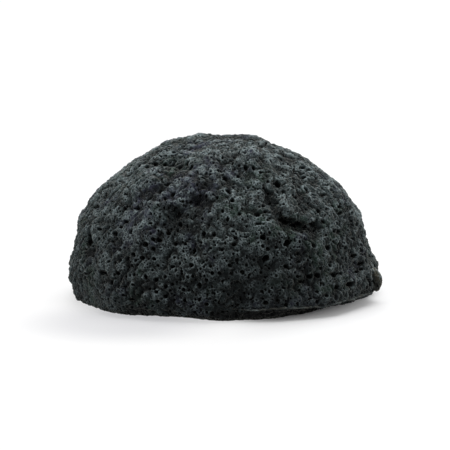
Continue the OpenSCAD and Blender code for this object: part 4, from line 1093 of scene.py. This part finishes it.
class SPONGE_OT_stage(bpy.types.Operator):
    """Build the pale floor, the light and the camera"""

    bl_idname = "sponge.stage"
    bl_label = "Build stage"

    def execute(self, context):
        scene, stage = context.scene, context.scene.sponge_stage
        mesh = bpy.data.meshes.new("floor")
        half = stage.floor_size / 2
        mesh.from_pydata([(-half, -half, 0), (half, -half, 0), (half, half, 0), (-half, half, 0)], [], [(0, 1, 2, 3)])
        mesh.materials.append(floor_material())
        floor = bpy.data.objects.new("floor", mesh)
        scene.collection.objects.link(floor)
        scene.world = bpy.data.worlds.new("studio")
        scene.world.use_nodes = True
        sky = scene.world.node_tree.nodes["Background"]
        sky.inputs["Color"].default_value = (1, 1, 1, 1)
        sky.inputs["Strength"].default_value = WORLD_STRENGTH
        for name, energy, disc, place in LAMPS:
            lamp = bpy.data.lights.new(name, "SUN")
            lamp.energy, lamp.angle = energy, math.radians(disc)
            set_up(scene, name, lamp, Vector(place), Vector(LAMP_TARGET) - Vector(place))
        back = Vector((0, -math.cos(stage.rise), math.sin(stage.rise)))
        camera = bpy.data.cameras.new("camera")
        camera.lens, camera.sensor_width = stage.focal, SENSOR
        camera.clip_start, camera.clip_end = 0.05, 20
        target = Vector((stage.target_x, 0, stage.target_z))
        scene.camera = set_up(scene, "camera", camera, target + back * stage.distance, -back)
        scene.view_settings.view_transform = "Standard"
        return {"FINISHED"}


def floor_material():
    """White floor that keeps the sponge's shadow and shines by itself where the camera sees it: painted light,
    stronger at the left, where it lightens the sponge's shadow, and dimmer at the foot of the front left as a painted
    soft shadow.
    To all other light it is grey."""
    m = Maker("floor_white")
    camera, glossy, clear = (m.node("ShaderNodeLightPath", {}, out=k) for k in (0, 3, 6))
    place = m.node("ShaderNodeTexCoord", {}, out=3)
    across = m.node("ShaderNodeSeparateXYZ", {}, place, out=0)
    # Painted shadow: the floor's own light is dimmer near this place at the foot of the front left
    foot = m.node("ShaderNodeVectorMath", {"operation": "DISTANCE"}, place, PAINTED_SHADOW_PLACE)
    reach = m.node("ShaderNodeVectorMath", {"operation": "LENGTH"}, place)
    # Painted light: the floor's own light is strongest at the left and weakest close to the sponge at the right
    left = across.above(*PAINTED_LIGHT_LEFT_STEP)
    share = left * PAINTED_LIGHT_LEFT + (1 - left) * (reach.above(*PAINTED_LIGHT_AWAY_STEP) * PAINTED_LIGHT_RIGHT + PAINTED_LIGHT_LEAST)
    painted_glow = m.node("ShaderNodeEmission", {}, m.mix(foot.above(*PAINTED_SHADOW_STEP), FLOOR_GLOW, PAINTED_SHADOW_GLOW), 1.0)
    white, grey = (m.node("ShaderNodeBsdfDiffuse", {}, (*c, 1)) for c in (FLOOR_WHITE, FLOOR_GREY))
    bright = m.node("ShaderNodeMixShader", {}, share, white, painted_glow)
    m.node("ShaderNodeOutputMaterial", {}, m.node("ShaderNodeMixShader", {}, camera + glossy + clear, grey, bright))
    return m.material


def set_up(scene, name, data, place, way):
    """A new object for a lamp or a camera, at a place and looking along a direction."""
    holder = bpy.data.objects.new(name, data)
    holder.location = place
    holder.rotation_euler = way.to_track_quat("-Z", "Y").to_euler()
    scene.collection.objects.link(holder)
    return holder


class SPONGE_PT_build(bpy.types.Panel):
    """Buttons for the sponge's pieces."""

    bl_idname = "SPONGE_PT_build"
    bl_label = "Konjac sponge"
    bl_space_type = "VIEW_3D"
    bl_region_type = "UI"
    bl_category = "Sponge"

    def draw(self, context):
        for operator in OPERATORS:
            self.layout.operator(operator.bl_idname)


OPERATORS = (SPONGE_OT_dome, SPONGE_OT_base, SPONGE_OT_lip, SPONGE_OT_nub, SPONGE_OT_stage)
GROUPS = {"sponge_sizes": SpongeSizes, "sponge_pores": SpongePores, "sponge_colours": SpongeColours,
          "sponge_stage": SpongeStage}


def register():
    """Adds the properties, the operators and the panel."""
    for name, group in GROUPS.items():
        bpy.utils.register_class(group)
        setattr(bpy.types.Scene, name, PointerProperty(type=group))
    for operator in (*OPERATORS, SPONGE_PT_build):
        bpy.utils.register_class(operator)


def unregister():
    """Takes them away again."""
    for operator in reversed((*OPERATORS, SPONGE_PT_build)):
        bpy.utils.unregister_class(operator)
    for name, group in reversed(GROUPS.items()):
        delattr(bpy.types.Scene, name)
        bpy.utils.unregister_class(group)


def main():
    register()
    bpy.ops.sponge.dome()
    bpy.ops.sponge.base()
    bpy.ops.sponge.lip()
    bpy.ops.sponge.nub()
    bpy.ops.sponge.stage()


if __name__ == "__main__":
    main()
